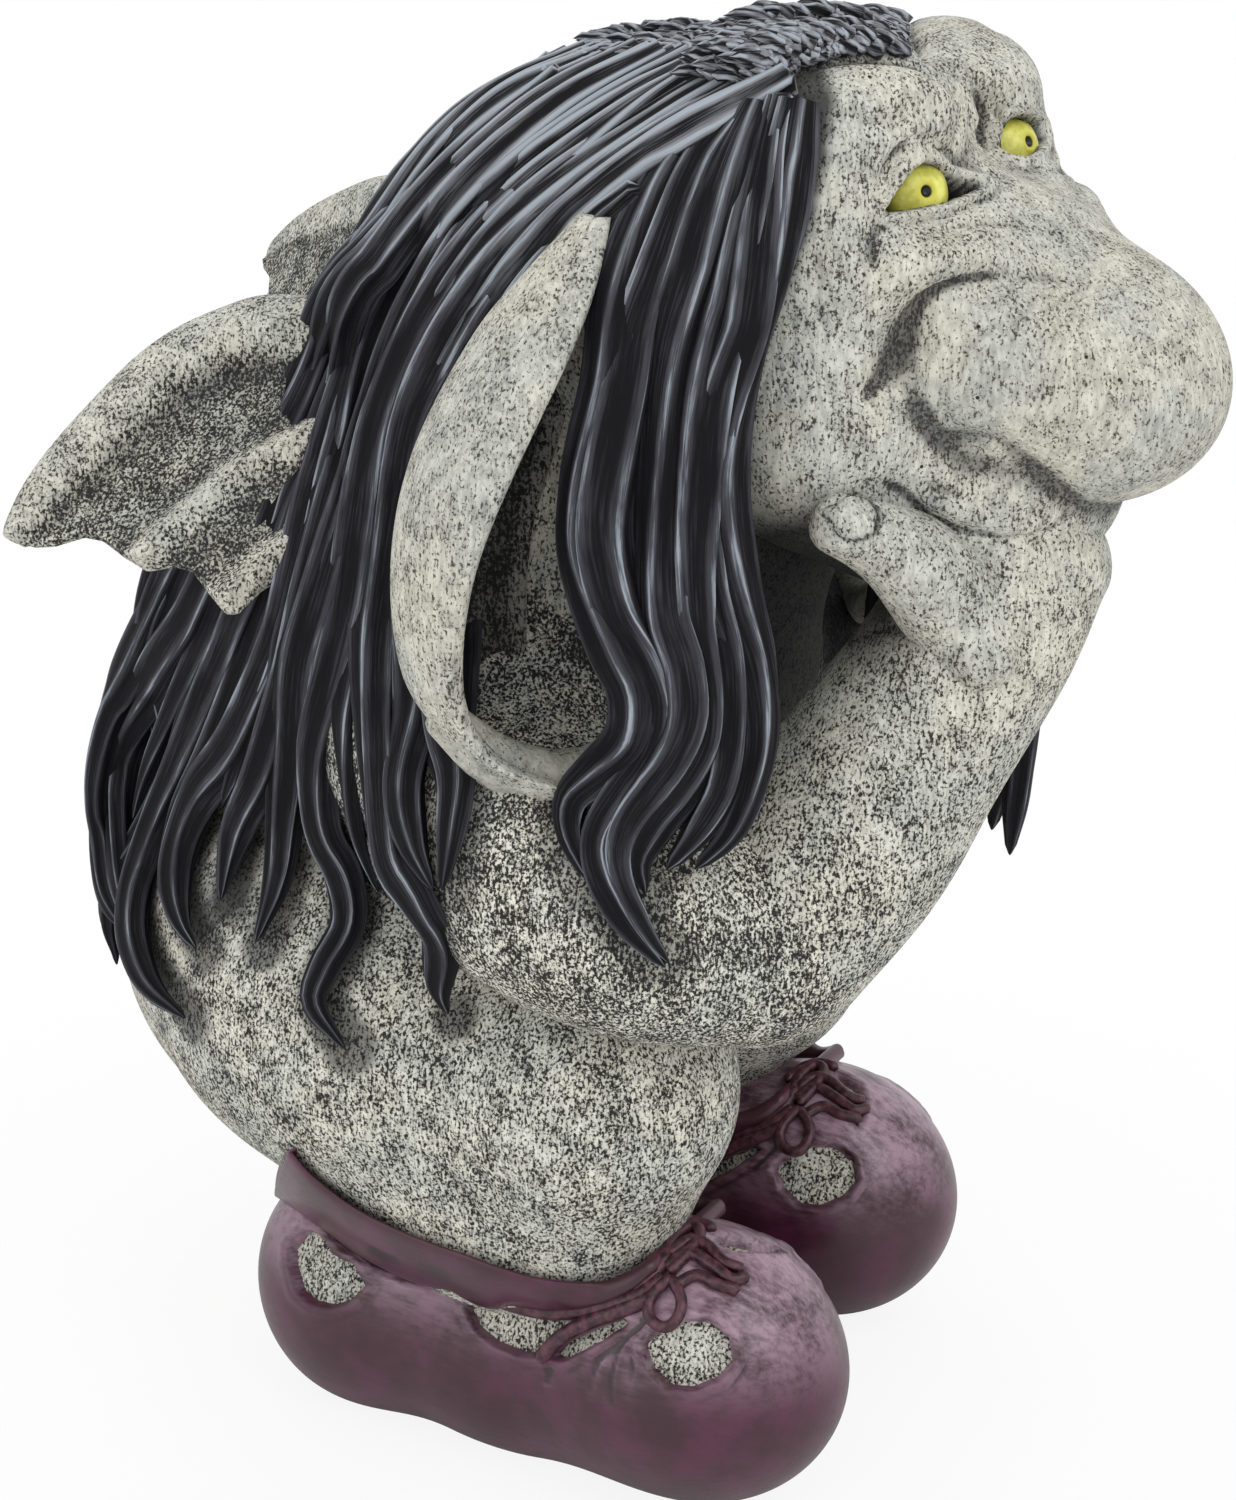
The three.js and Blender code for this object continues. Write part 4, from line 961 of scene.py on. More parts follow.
# %% Eyeballs
def ball(middle, gaze):
    """A ball by polar angle from its gaze and turn, with a drilled pupil: its radius dips near the pole."""
    rows, sides = 60, 64
    polar = ((np.arange(rows) + 0.6) / (rows + 0.2) * math.pi)[:, None]
    turn = (np.arange(sides) / sides * 2 * math.pi)[None]
    side = np.cross(gaze, [0.0, 0.0, 1.0])
    side /= np.linalg.norm(side)
    up = np.cross(side, gaze)
    away = EYE_R * polar
    radius = EYE_R - 1.2 * (1 - smooth_step(away, 0.6, 1.5)) + 0.25 * np.exp(-(((away - 2.1) / 0.6) ** 2))
    along = np.cos(polar)[..., None] * gaze + (np.sin(polar) * np.cos(turn))[..., None] * side
    along = along + (np.sin(polar) * np.sin(turn))[..., None] * up
    rings = middle + along * radius[..., None]
    ends = (middle + gaze * (EYE_R - 1.2), middle - gaze * EYE_R)
    return skin(rings, ends, pupil=away + 0 * turn)


def looks_at(middle, pixel):
    """Direction from the middle of an eye to where a pixel shows on its ball."""
    place = on_form([pixel], lambda p: np.linalg.norm(p - middle, axis=-1) - EYE_R)[0]
    return (place - middle) / np.linalg.norm(place - middle)


piece("right_eyeball", [ball(RIGHT_EYE, looks_at(RIGHT_EYE, RIGHT_PUPIL))], eye, ["right_eye"])
piece("left_eyeball", [ball(LEFT_EYE, looks_at(LEFT_EYE, LEFT_PUPIL))], eye, ["left_eye"])

# %% [markdown]
# ## Body and legs
# The rump and the haunches are one smooth mass on the real figure, though cast apart. Each leg here
# has a skirt of clay that flows onto the body and dives under its skin, so no seam shows. Carved
# arcs show where the shin folds.

# %% Torso
LEG_STROKES = [
    ([(422, 1121), (457, 1148), (485, 1183), (500, 1218), (506, 1249)], 2.0, -0.9),
    ([(407, 1148), (442, 1171), (469, 1202), (488, 1241)], 1.8, -0.8),
    ([(430, 1109), (473, 1132), (500, 1171), (514, 1210), (516, 1245)], 1.6, -0.7),
    ([(418, 1012), (414, 1043), (403, 1070)], 0.9, -0.8),
    ([(414, 1055), (438, 1062), (457, 1078)], 0.8, -0.6),
    ([(418, 1066), (409, 1109), (405, 1156)], 0.8, -0.6),
    ([(629, 1004), (652, 1043), (667, 1093), (671, 1152), (656, 1210)], 2.2, -0.5),
    ([(667, 1016), (695, 1055), (702, 1109)], 2.0, -0.5),
]
rings, ends = form((0, 45, 150), torso_gap, 150, 220)
tone = np.clip(0.6 * hollows_of(rings, 4, 1.2), -1, 1)
trunk = skin(rings, ends, hollow=tone, speckle=0.81, soot=hair_paint_and_shade_of(rings))
piece("body", [trunk], stone, ["torso"])


# %% Legs
def haunch(lumps):
    """A leg drawn for the right side: its form by rays, with the carved arcs pressed in."""
    rings, ends = form((-48, -4, 92), lambda p: leg_gap(p, lumps), 170, 240)
    rings = press(rings, LEG_STROKES, leg_gap)
    tone = np.clip(0.5 * hollows_of(rings, 3, 0.8) + 0.6 * hollows_of(rings, 9, 3.0), -1, 1)
    return skin(rings, ends, hollow=tone, speckle=0.95, soot=hair_paint_and_shade_of(rings, 0.8))


piece("right_haunch", [haunch(HAUNCH)], stone, ["right_leg"])
left_leg = moved(mirrored(haunch(LEFT_HAUNCH)), (0, LEFT_STEP_BACK, 0))
piece("left_haunch", [left_leg], stone, ["left_leg"])

# %% [markdown]
# ## Arms and hands
# Limbs are round bars along a curve with half-widths that change from station to station, closed by
# round ends. The right forearm props the chin, with its thumb along the jaw. Its fingers lie hidden
# on the far jaw, and the left hand rests on the left knee, so those are guesses.

# %% Stations of the limbs
UPPER_ARM = [(-50, 8, 178, 30), (-67, -16, 166, 31), (-62, -40, 154, 29), (-44, -60, 147, 27)]
FOREARM = [(-40, -61, 147, 27), (-30, -75, 168, 26.5), (-21.5, -86.5, 190, 24), (-13.5, -98.5, 214, 22.5),
           (-6, -99.5, 230, 25.5)]
THUMB_PATH = [(838, 521), (872, 536), (912, 560)]
THUMB_ROOT = [(952, 604), (985, 660)]  # inside the forearm
THUMB_SINK = 5.0
THUMB_HALVES = [7.2, 8.2, 10.5, 12, 9]
LEFT_UPPER_ARM = [(50, 8, 180, 30), (70, -4, 168, 30), (78, -8, 146, 27)]
LEFT_FOREARM = [(77, -10, 143, 26), (68, -22, 139, 21), (58, -32, 138, 19), (48, -39, 136, 17)]
FINGERS = [
    [(4, -100, 232, 12), (24, -98, 243, 9.5), (38, -84, 250, 8.5), (43, -70, 254, 7)],
    [(4, -100, 226, 12), (26, -94, 234, 9.5), (40, -80, 240, 8.5), (45, -65, 242, 7)],
    [(2, -98, 220, 12), (24, -90, 224, 9.5), (38, -76, 229, 8.5), (43, -62, 231, 7)],
    [(0, -94, 214, 11), (20, -85, 215, 8.5), (33, -73, 219, 7.5), (38, -62, 220, 6)],
]
LEFT_FINGERS = [
    [(48, -36, 138, 11), (36, -42, 138, 8.5), (24, -44, 131, 7.5), (18, -42, 119, 6)],
    [(46, -31, 139, 11), (32, -36, 140, 8.5), (20, -37, 133, 7.5), (14, -35, 121, 6)],
    [(45, -27, 140, 11), (31, -30, 141, 8.5), (19, -30, 134, 7.5), (13, -28, 123, 6)],
    [(46, -23, 140, 10), (34, -24, 142, 7.5), (23, -24, 136, 6.5), (17, -22, 126, 5)],
]
LEFT_THUMB = [(52, -36, 134, 12), (46, -44, 129, 9), (36, -47, 121, 7.5)]
WRIST_STROKES = [
    ([(871, 631), (891, 628), (912, 631), (936, 628), (943, 643), (939, 664)], 1.4, -1.6),
    ([(890, 610), (915, 606), (945, 612)], 1.6, -0.7),
    ([(960, 560), (1000, 580), (1040, 586)], 2.0, -0.6),
]
print("fingers:", len(FINGERS) + len(LEFT_FINGERS))


# %% Bars along curves
def limb(stations, sides=72, spacing=1.3, end=0.8):
    """A round bar along a curve; at each end the half-width falls as a circle does over a share of it."""
    s = np.array(stations, float)
    first, last = s[0].copy(), s[-1].copy()
    for tip, inner in ((first, s[1]), (last, s[-2])):
        way = tip[:3] - inner[:3]
        tip[:3] += way / np.linalg.norm(way) * tip[3] * end
    path = even_path(np.vstack([first, s, last]), spacing)
    run = np.concatenate([[0], np.cumsum(np.linalg.norm(np.diff(path[:, :3], axis=0), axis=1))])
    half = path[:, 3].copy()
    for distance, reach in ((run, half[0] * end), (run[-1] - run, half[-1] * end)):
        half *= np.sqrt(np.clip(1 - (1 - np.clip(distance / reach, 0, 1)) ** 2, 1e-4, 1))
    along = np.gradient(path[:, :3], axis=0)
    along /= np.linalg.norm(along, axis=1, keepdims=True)
    side = np.cross(along, [0.3, 0.2, 0.93])
    side /= np.linalg.norm(side, axis=1, keepdims=True)
    up = np.cross(side, along)
    turn = np.arange(sides) / sides * 2 * math.pi
    rings = path[:, None, :3] + side[:, None] * (half[:, None] * np.cos(turn))[..., None]
    rings = rings + up[:, None] * (half[:, None] * np.sin(turn))[..., None]
    return rings, (path[0, :3], path[-1, :3])


def bar_gap(points, stations):
    """Distance outside a limb: the smallest over its curve of distance to the curve less the half-width."""
    path = even_path(stations, 3.0)
    flat = points.reshape(-1, 3)
    best = np.full(len(flat), 1e9)
    for x, y, z, half in path:
        best = np.minimum(best, np.linalg.norm(flat - (x, y, z), axis=1) - half)
    return best.reshape(points.shape[:-1])


def stone_limb(stations, speckle, strokes=(), sides=72):
    """A limb in stone paint with its strokes pressed in, and speckle for its root and its end."""
    rings, ends = limb(stations, sides)
    if strokes:
        rings = press(rings, strokes, lambda p: bar_gap(p, stations))
    tone = np.clip(0.6 * hollows_of(rings, 2, 0.5), -1, 1)
    tone = tone * smooth_step(np.arange(len(rings)), 0, 6)[:, None]
    rough = np.interp(np.linspace(0, 1, len(rings)), [0.3, 0.9], speckle)[:, None]
    return skin(rings, ends, hollow=tone, speckle=rough, soot=hair_paint_and_shade_of(rings, 0.5))


# %% Upper arms
ARM_SOFT = 24.0


def upper_arm(stations, core):
    """An upper arm with a skirt that flows onto the body and dives under its skin, as the leg has."""

    def arm_gap(points):
        arm = bar_gap(points, stations)
        return melt(arm, torso_gap(points) + (np.maximum(arm, 0) / SKIRT) ** 2, ARM_SOFT)

    rings, ends = form(core, arm_gap, 120, 180)
    # The upper arm is painted a little darker all over, partly as the shadow of the hair over it.
    tone = np.clip(0.1 + 0.6 * hollows_of(rings, 4, 1.2), -1, 1)
    return skin(rings, ends, hollow=tone, speckle=1.1, soot=hair_paint_and_shade_of(rings, 0.6))


piece("right_upper_arm_bar", [upper_arm(UPPER_ARM, (-58, -24, 162))], stone, ["right_upper_arm"])

# %% Right forearm with its thumb, and the left arm
NAIL_PIXEL = np.array([854.0, 517.0])
NAIL_RADIUS = 25.0  # pixels
thumb_root = on_form(THUMB_ROOT, lambda p: bar_gap(p, FOREARM), -THUMB_SINK)
thumb_at = np.vstack([on_form(THUMB_PATH, head_gap, 1.5), thumb_root])
rings, ends = limb(np.column_stack([thumb_at, THUMB_HALVES]))
gap = np.linalg.norm(picture_of(rings) - NAIL_PIXEL, axis=-1) / NAIL_RADIUS
facing = smooth_step((normals_of(rings) * TO_CAMERA).sum(-1), 0.1, 0.4)
nail = 0.5 * (1 - smooth_step(gap, 0.75, 0.95)) - 1.0 * np.exp(-(((gap - 1) / 0.12) ** 2))
rings = rings + normals_of(rings) * (nail * facing)[..., None]
thumb = skin(rings, ends, hollow=np.clip(hollows_of(rings, 2, 0.3), -1, 1), speckle=0.7, soot=0.0)
hand = [stone_limb(FOREARM, (0.94, 0.7), WRIST_STROKES), thumb]
hand += [stone_limb(f, (0.6, 0.6), (), 36) for f in FINGERS]
piece("right_forearm_and_hand", hand, stone, ["right_forearm"])
piece("left_upper_arm_bar", [upper_arm(LEFT_UPPER_ARM, (68, -2, 166))], stone, ["left_upper_arm"])
hand = [stone_limb(f, (0.7, 0.7), (), 36) for f in LEFT_FINGERS + [LEFT_THUMB]]
hand = [stone_limb(LEFT_FOREARM, (0.9, 0.8))] + hand
piece("left_forearm_and_hand", hand, stone, ["left_forearm"])

# %% [markdown]
# ## Ears
# An ear is a scoop: at each height a crescent, open to the front, that runs from the rim round the
# back to the root at the head. The rim is a thicker bead, and a fold stands inside. The lobe hooks
# forward under the hollow.

# %% Ears
EAR = [
    (-70, -37, 310, 5, 235), (-71, -34, 298, 13, 222), (-72, -30, 284, 20.5, 213),
    (-76, -24, 260, 26, 202), (-79, -18, 236, 24.5, 196), (-79, -17, 212, 22, 190),
    (-78, -21, 198, 17.5, 190), (-77, -25, 191, 14, 225), (-76, -28, 186, 10, 290), (-75, -30, 183, 5, 330),
]  # from the top of the ear down: its middle, its half-width and the angle of its rim
EAR_LOBE = [(-92, -10, 203, 4.5), (-86, -19, 193, 6), (-78, -27, 188, 6.5), (-72, -33, 189, 5.5),
            (-69, -36, 192, 4)]
EAR_ROOT = math.radians(15)
EAR_WALL = 4.0


def ear_scoop():
    """Crescents by height: an outer arc and, walked back, an inner arc closer to the middle by the wall."""
    rows = even_path(EAR, 0.9)
    arc = 48
    share = np.linspace(0, 1, arc)[None]
    rim = np.radians(rows[:, 4:5])
    turn = rim + (EAR_ROOT - rim) * share
    radius = rows[:, 3:4]
    wall = np.minimum(EAR_WALL * (0.75 + 0.7 * np.exp(-((share / 0.1) ** 2))), radius * 0.6)
    fold = 2.2 * np.exp(-(((share - 0.42) / 0.06) ** 2)) * smooth_step(radius, 10, 17)
    flare = 1.5 * np.exp(-((share / 0.12) ** 2)) * smooth_step(radius, 8, 16)
    outer, inner = radius + flare, radius + flare - wall - fold
    way = np.stack([np.cos(turn), np.sin(turn), 0 * turn], -1)
    middle = rows[:, None, :3]
    edge = np.concatenate([middle + way * outer[..., None], (middle + way * inner[..., None])[:, ::-1]], 1)
    for _ in range(3):
        edge = edge * 0.5 + (np.roll(edge, 1, 1) + np.roll(edge, -1, 1)) * 0.25
    inside = np.concatenate([0 * wall, 0.1 + 0.9 * smooth_step(share[:, ::-1], 0.3, 0.6) + 0 * wall], 1)
    centre = arc // 2
    tips = [row[[centre, 2 * arc - 1 - centre]].mean(0) for row in (edge[0], edge[-1])]
    return edge, tips, inside


edge, tips, inside = ear_scoop()
# The inside of the scoop gets painted shade: darker wash, more specks and near-black.
tone = np.clip(hollows_of(edge, 2, 0.4) + 0.4 * inside, -1, 1)
shade = 0.62 * smooth_step(inside, 0.4, 1.0)
ear = [skin(edge, tips, hollow=tone, speckle=0.66 + 0.3 * inside, soot=shade)]
rings, ends = limb(EAR_LOBE, 48)
ear.append(skin(rings, ends, hollow=0.0 * rings[..., 0], speckle=0.45, soot=0.0))
piece("right_ear_scoop", ear, stone, ["right_ear"])
piece("left_ear_scoop", [mirrored(part) for part in ear], stone, ["left_ear"])

# %% [markdown]
# ## Wings
# A bat's wing: a thick bone arches along the leading edge, two ribs run out to points, and the skin
# hangs between them in scallops. The sheet is a grid: one parameter goes from the bone to the lower
# edge, the other from the root to the outer edge. The height over the middle plane is bone plus
# ribs, and the skin between them sags.

# %% Lines of a wing
WING_LEAD = [(-16, 6), (-2, -3), (12, -15), (23, -19), (35, -21), (47, -20), (61, -16), (75, -11),
             (85, -6), (93, 0), (95.5, 2.7)]
WING_FOOT = [(-16, 40), (10, 42), (27, 46), (45, 52), (55, 53), (60, 54.7)]
WING_EDGE = [(95.5, 2.7), (93, 7), (87, 11), (80, 13), (77, 16.5), (75, 24), (72.6, 29.7), (66.6, 33.4),
             (63.7, 37.6), (63.5, 45), (63, 52), (60, 54.7)]
WING_RIB = [(-16, 24), (26, 24.6), (37.5, 23), (53, 25.5), (64, 26.7), (72.6, 29.7)]
BONE_SHARES = [0.0, 0.3, 0.6, 0.85, 1.0]
BONE_HALVES = [10.0, 9.5, 8.0, 5.5, 3.0]
SHEET_HALF = 1.7  # half the thickness of the skin between the bones
SAG = 2.5
print("wing reaches", WING_LEAD[-1][0], "mm out")


# %% Wing surface
def gap_to(flat, line):
    """Distance in the plane of the wing to the nearest point of a finely sampled line."""
    fine = smooth_path(line, 300)
    return np.stack([np.linalg.norm(row[:, None] - fine, axis=-1).min(-1) for row in flat])


def along_line(line, share):
    """Points at shares of the length of a line with corners."""
    line = np.array(line, float)
    run = np.concatenate([[0], np.cumsum(np.linalg.norm(np.diff(line, axis=0), axis=1))])
    return np.stack([np.interp(share * run[-1], run, column) for column in line.T], -1)


def wing(root, out, face):
    """Upper and lower heights over a grid between the bone, the lower edge and the scalloped outer edge."""
    q = (np.linspace(0, 1, 110) ** 1.6)[:, None, None]
    s = np.linspace(0, 1, 90)
    lead, foot = smooth_path(WING_LEAD, len(s)), smooth_path(WING_FOOT, len(s))
    flat = lead * (1 - q) + foot * q
    flat = flat + (along_line(WING_EDGE, q[:, 0, 0])[:, None] - flat[:, -1:]) * s[:, None] ** 3
    gap = gap_to(flat, WING_LEAD)
    bone = np.interp(s, BONE_SHARES, BONE_HALVES)
    hump = 0.8 * bone * np.sqrt(np.clip(1 - ((gap - bone) / bone) ** 2, 0, 1))
    ribs = 3.6 * np.exp(-((gap_to(flat, WING_RIB) / 4.2) ** 2))
    ribs = ribs + 3.2 * np.exp(-(((gap_to(flat, WING_FOOT) - 3.5) / 4) ** 2))
    ends = np.sqrt(1 - np.clip((s - 0.95) / 0.05, 0, 1) ** 2)
    ends = ends * np.sqrt(1 - np.clip((q[..., 0] - 0.95) / 0.05, 0, 1) ** 2) * smooth_step(gap, 0, 4)
    upper = np.maximum(hump, (SHEET_HALF + ribs) * ends)
    lower = np.maximum(0.8 * hump, (SHEET_HALF + 0.4 * ribs) * ends)
    sag = -SAG * smooth_step(gap, 1.2 * bone, 2.4 * bone)
    u = np.array(out) / np.linalg.norm(out)
    n = np.array(face) - np.dot(face, u) * u
    n /= np.linalg.norm(n)
    w = np.cross(n, u) * np.sign(-root[0])
    plane = np.array(root, float) + flat[..., :1] * u + flat[..., 1:] * w
    top = plane + n * (sag + upper)[..., None]
    under = plane + n * (sag - lower)[..., None]
    rings = np.concatenate([top, under[:, ::-1]], 1)
    thin = smooth_step(gap, 1.3 * bone, 2.2 * bone) * (1 - np.minimum(ribs / 3.6, 1))
    thin = np.concatenate([thin, thin[:, ::-1]], 1)
    tone = np.clip(0.4 * hollows_of(rings, 8, 2.2) + 0.36 * thin, -1, 1)
    tips = (rings[0].mean(0), rings[-1].mean(0))
    return skin(rings, tips, hollow=tone, speckle=0.8 + 0.22 * thin, soot=0.0)


piece("right_wing_sheet", [wing(*RIGHT_WING)], stone, ["right_wing"])
piece("left_wing_sheet", [wing(*LEFT_WING)], stone, ["left_wing"])

# %% [markdown]
# ## Shoes and feet
# The shoe leather has round holes through which the stone foot shows. The shoe is one skin over the
# last: inside each hole it is pushed in deeper than the foot, a second skin a little inside the
# last, so the foot shows there and the wall of the hole is real. Folds gather under the knot.

# %% Holes and folds of a shoe
SHOE_HOLES = [
    [(289, 1246), (306, 1227), (318, 1234), (334, 1256), (353, 1265), (365, 1284), (348, 1303),
     (330, 1309), (311, 1305), (297, 1293), (289, 1265)],
    [(465, 1305), (495, 1309), (532, 1315), (577, 1318), (556, 1336), (542, 1356), (518, 1355),
     (495, 1345), (476, 1329)],
    [(549, 1357), (561, 1341), (589, 1327), (617, 1316), (629, 1322), (608, 1336), (584, 1350),
     (561, 1361)],
    [(639, 1345), (655, 1331), (683, 1317), (712, 1319), (731, 1336), (735, 1360), (721, 1378),
     (693, 1390), (669, 1388), (650, 1369)],
]
TOP_SLIT = [(705, 1239), (731, 1235), (759, 1242), (785, 1252), (759, 1252), (731, 1250)]
SHOE_STROKES = [
    ([(638, 1322), (617, 1350), (608, 1388), (613, 1412)], 1.6, -0.9),
    ([(631, 1327), (599, 1360), (589, 1397)], 1.4, -0.7),
    ([(645, 1318), (632, 1356), (628, 1392)], 1.4, -0.6),
    ([(551, 1360), (547, 1388)], 1.2, -0.6),
    ([(320, 1222), (360, 1255), (405, 1278), (447, 1288), (490, 1306)], 1.2, -1.0),
    ([(372, 1262), (384, 1267), (396, 1270)], 0.9, -1.0),
    ([(420, 1277), (434, 1280), (446, 1282)], 0.9, -1.0),
]
HOLE_DEPTH = 6.5
FOOT_INSET = 2.6
SHOE_TURN = np.array([2 * SHOE_X, 0, 0])  # mirrors a place across the middle of the right shoe
print("holes in a shoe:", len(SHOE_HOLES))


# %% Shoes
def across_shoe(points):
    """The place mirrored across the middle of the right shoe."""
    return points * MIRROR + SHOE_TURN


rings, ends = form((SHOE_X, -4, 30), last_gap, 150, 330, spine=42.0)
rings = press(rings, SHOE_STROKES, last_gap)
flat = rings.reshape(-1, 3)
normal = normals_of(rings).reshape(-1, 3)
sink = np.zeros(len(flat))
for turned, outside in ((flat, normal), (across_shoe(flat), normal * MIRROR)):
    toward = ((outside * (CAMERA_AT - turned)).sum(1) > 0) & (turned[:, 0] < SHOE_X + 8)
    for hole in SHOE_HOLES:
        gap = outline_gap(picture_of(turned[toward]), hole)
        sink[toward] += 0.7 * np.exp(-(((gap - 5) / 5) ** 2)) - HOLE_DEPTH * smooth_step(-gap, -0.5, 4)
toward = (normal * (CAMERA_AT - flat)).sum(1) > 0
gap = outline_gap(picture_of(flat[toward]), TOP_SLIT)
sink[toward] += 0.6 * np.exp(-(((gap - 4) / 4) ** 2)) - HOLE_DEPTH * smooth_step(-gap, -0.5, 4)
sink = np.maximum(sink, -HOLE_DEPTH)
rings = (flat + normal * sink[:, None]).reshape(rings.shape)
rings[..., 2] = np.maximum(rings[..., 2], 0.0)
ends[1][2] = 0.0
tone = np.clip(hollows_of(rings, 2, 0.5), -1, 1)
# Upward faces take the pale of worn paint and painted sheen.
worn = 0.85 * smooth_step(normal[:, 2], 0.05, 0.9).reshape(tone.shape)
right_shoe = skin(rings, ends, hollow=tone, worn=worn)
piece("right_shoe_leather", [right_shoe], shoe, ["right_shoe"])
left_shoe = moved(mirrored(right_shoe), (0, LEFT_STEP_BACK, 0))
piece("left_shoe_leather", [left_shoe], shoe, ["left_shoe"])

# %% Feet
rings, ends = form((SHOE_X, -4, 30), lambda p: last_gap(p) + FOOT_INSET, 90, 160, spine=42.0)
rings[..., 2] = np.maximum(rings[..., 2], 2.0)
ends[1][2] = 2.0
foot = skin(rings, ends, hollow=0.1, speckle=0.9, soot=0.0)
piece("right_foot_form", [foot], stone, ["right_foot"])
piece("left_foot_form", [moved(mirrored(foot), (0, LEFT_STEP_BACK, 0))], stone, ["left_foot"])

# %% [markdown]
# ### Collars and laces
# A folded band runs round the ankle. From its flap, straps run to a knot on the instep, with one
# loop of a bow and a row of crossings. They are cast with the shoe and rigid, so round bars along
# drawn paths are enough.

# %% Lines of the collar and the laces
COLLAR_TOP = [(290, 1152), (311, 1176), (346, 1203), (382, 1223), (424, 1241), (467, 1256), (505, 1270),
              (542, 1280), (580, 1283), (608, 1280), (634, 1268), (648, 1258)]
COLLAR_LOW = [(277, 1196), (300, 1211), (330, 1232), (358, 1253), (405, 1278), (447, 1291), (490, 1308),
              (512, 1305), (546, 1309), (580, 1309), (608, 1304), (634, 1292), (651, 1278)]
COLLAR_SLITS = [[(370, 1250), (396, 1261)], [(420, 1267), (446, 1275)]]
COLLAR_HALF = 2.0  # half the thickness of the band
STRAPS = [
    [(492, 1288), (546, 1302), (598, 1299), (645, 1283), (665, 1258)],
    [(494, 1299), (546, 1312), (598, 1308), (638, 1296), (660, 1280)],
    [(542, 1356), (561, 1337), (589, 1322), (622, 1310), (650, 1298)],
]
LACES = [
    [(660, 1242), (679, 1228), (698, 1223), (712, 1228)],
    [(669, 1265), (688, 1252), (712, 1265), (731, 1279), (745, 1277)],
    [(678, 1284), (697, 1275), (716, 1284), (735, 1289)],
    [(672, 1252), (690, 1240), (708, 1246), (724, 1262), (740, 1268)],
    [(664, 1262), (672, 1240), (690, 1226), (700, 1232), (690, 1250), (672, 1270)],
]
BOW = [(669, 1279), (655, 1292), (648, 1309), (654, 1323), (668, 1327), (679, 1315), (681, 1298),
       (672, 1280)]
print("straps and laces:", len(STRAPS) + len(LACES) + 1)


# %% Collar band and laces
def cord(pixels, half, lift):
    """A round bar along a path drawn on the shoe, standing a lift above it."""
    path = on_form(pixels, last_gap, lift)
    stations = np.column_stack([path, np.full(len(path), half)])
    rings, ends = limb(stations, 16, 0.9, 0.9)
    return skin(rings, ends)


def collar_band():
    """A flattened oval between a lower and an upper edge, carried round the ankle and mirrored."""
    low = smooth_path(on_form(COLLAR_LOW, last_gap, 1.0), 110)
    top = smooth_path(on_form(COLLAR_TOP, lambda p: np.minimum(last_gap(p), leg_gap(p)), 2.4), 110)
    low, top = (np.vstack([side, across_shoe(side)[::-1], side[:1]]) for side in (low, top))
    middle, rise = (low + top) / 2, (top - low) / 2
    out = np.cross(np.gradient(middle, axis=0), rise)
    out /= np.linalg.norm(out, axis=1, keepdims=True) + 1e-9
    turn = np.arange(28) / 28 * 2 * math.pi
    rings = middle[:, None] + rise[:, None] * np.cos(turn)[:, None]
    rings = rings + COLLAR_HALF * out[:, None] * np.sin(turn)[:, None]
    # The slits in the band are not cut; their dark lines are painted shade.
    seen = picture_of(rings)
    slits = [np.linalg.norm(seen[:, :, None] - smooth_path(p, 20), axis=-1).min(-1) for p in COLLAR_SLITS]
    return skin(rings, (middle[0], middle[-1]), hollow=np.exp(-((np.minimum(*slits) / 3.5) ** 2)))


collar = collar_band()
right_laces = [cord(p, 1.9, 0.9) for p in STRAPS] + [cord(p, 1.5, 1.0) for p in LACES]
right_laces.append(cord(BOW, 1.4, 1.6))
LEFT_SHOE_STEP = (-2 * SHOE_X, LEFT_STEP_BACK, 0)
left_collar = moved(collar, LEFT_SHOE_STEP)
piece("right_collar", [collar], shoe, ["right_shoe"])
piece("left_collar", [left_collar], shoe, ["left_shoe"])
piece("right_laces", right_laces, lace, ["right_lace"])
piece("left_laces", [moved(s, LEFT_SHOE_STEP) for s in right_laces], lace, ["left_lace"])

# %% [markdown]
# ## Studio
# A pale floor, a large soft lamp above and in front, and an even white world. The floor and the
# world look white to the camera by their own colour, while the lamps stay at a plain level.

# %% Floor
FLOOR_SIZE = 24.0
WHITE_NEAR, WHITE_FAR = 0.88, 1.0  # share of plain white the camera sees in the floor
WHITE_FROM, WHITE_TO = 0.1, 0.35  # metres from the figure
floor_mesh = bpy.data.meshes.new("floor")
half = FLOOR_SIZE / 2
corners = [(-half, -half, 0), (half, -half, 0), (half, half, 0), (-half, half, 0)]
floor_mesh.from_pydata(corners, [], [(0, 1, 2, 3)])
floor = bpy.data.objects.new("floor", floor_mesh)
bpy.context.scene.collection.objects.link(floor)
paper, tree, shader, spot = start_finish("studio_paper")
shader.inputs["Base Color"].default_value = (0.9, 0.9, 0.9, 1)
shader.inputs["Roughness"].default_value = 0.9
away = spot.node("ShaderNodeVectorMath", {"operation": "LENGTH"}, 1, Vector=spot)
white = away.above(WHITE_FROM, WHITE_TO) * (WHITE_FAR - WHITE_NEAR) + WHITE_NEAR
seen = spot.node("ShaderNodeLightPath") * white
glow = tree.nodes.new("ShaderNodeEmission")
mixed = tree.nodes.new("ShaderNodeMixShader")
tree.links.new(seen.socket, mixed.inputs[0])
tree.links.new(shader.outputs[0], mixed.inputs[1])
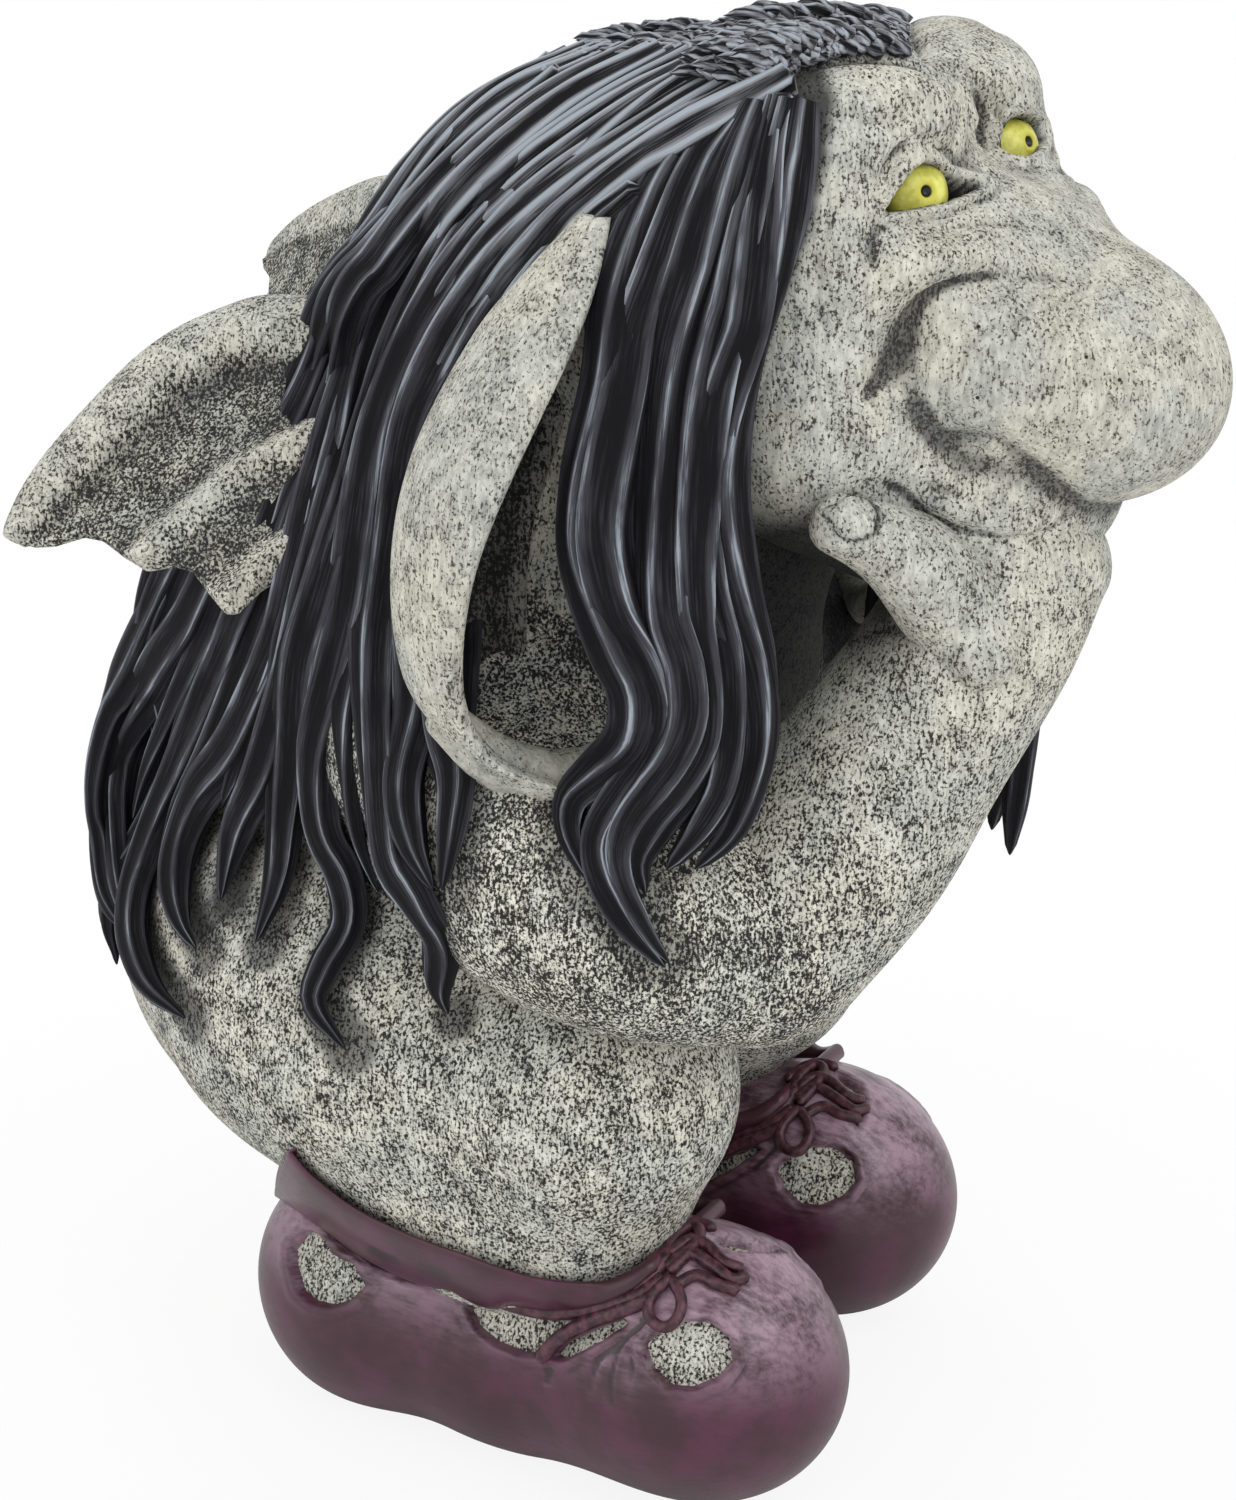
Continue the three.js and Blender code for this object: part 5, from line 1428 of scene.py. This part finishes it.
tree.links.new(glow.outputs[0], mixed.inputs[2])
tree.links.new(mixed.outputs[0], tree.nodes["Material Output"].inputs["Surface"])
floor_mesh.materials.append(paper)

# %% World
WORLD_LIGHT = 0.81  # on the object; the camera sees plain white
world = bpy.data.worlds.new("studio_world")
bpy.context.scene.world = world
world.use_nodes = True
tree = world.node_tree
background = tree.nodes["Background"]
path = tree.nodes.new("ShaderNodeLightPath")
seen = Paint(tree, path.outputs["Is Camera Ray"])
tree.links.new((WORLD_LIGHT + (1 - WORLD_LIGHT) * seen).socket, background.inputs["Strength"])
background.inputs["Color"].default_value = (1, 1, 1, 1)
print("world light:", WORLD_LIGHT)


# %% Lamps
def lamp(name, place, target, size, watts):
    """A square soft lamp at a place in millimetres, turned to a target."""
    data = bpy.data.lights.new(name, "AREA")
    data.size = size
    data.energy = watts
    made = bpy.data.objects.new(name, data)
    bpy.context.scene.collection.objects.link(made)
    made.location = np.array(place) * MM
    way = np.array(target, float) - np.array(place, float)
    turn = math.atan2(way[1], way[0])
    tilt = math.atan2(math.hypot(way[0], way[1]), -way[2])
    made.rotation_euler = (tilt, 0, turn - math.pi / 2)


lamp("key_lamp", (-300, -900, 1100), (0, -20, 180), 0.9, 4.2)
lamp("fill_lamp", (-1100, 300, 500), (0, 0, 150), 0.9, 2.0)
lamp("rim_lamp", (700, 700, 1100), (0, 0, 200), 0.8, 2.5)

# %% Camera
camera_data = bpy.data.cameras.new("photo_camera")
SENSOR = 36.0
camera_data.sensor_width = SENSOR
camera_data.lens = SENSOR * FOCAL_PIXELS / PHOTO_HEIGHT
camera = bpy.data.objects.new("photo_camera", camera_data)
bpy.context.scene.collection.objects.link(camera)
turned = np.eye(4)
turned[:3, 0], turned[:3, 1], turned[:3, 2] = CAMERA_RIGHT, CAMERA_UP, TO_CAMERA
turned[:3, 3] = CAMERA_AT * MM + FRAME_OFFSET
camera.matrix_world = mathutils.Matrix(turned.tolist())
bpy.context.scene.camera = camera
bpy.context.scene.view_settings.view_transform = "Standard"
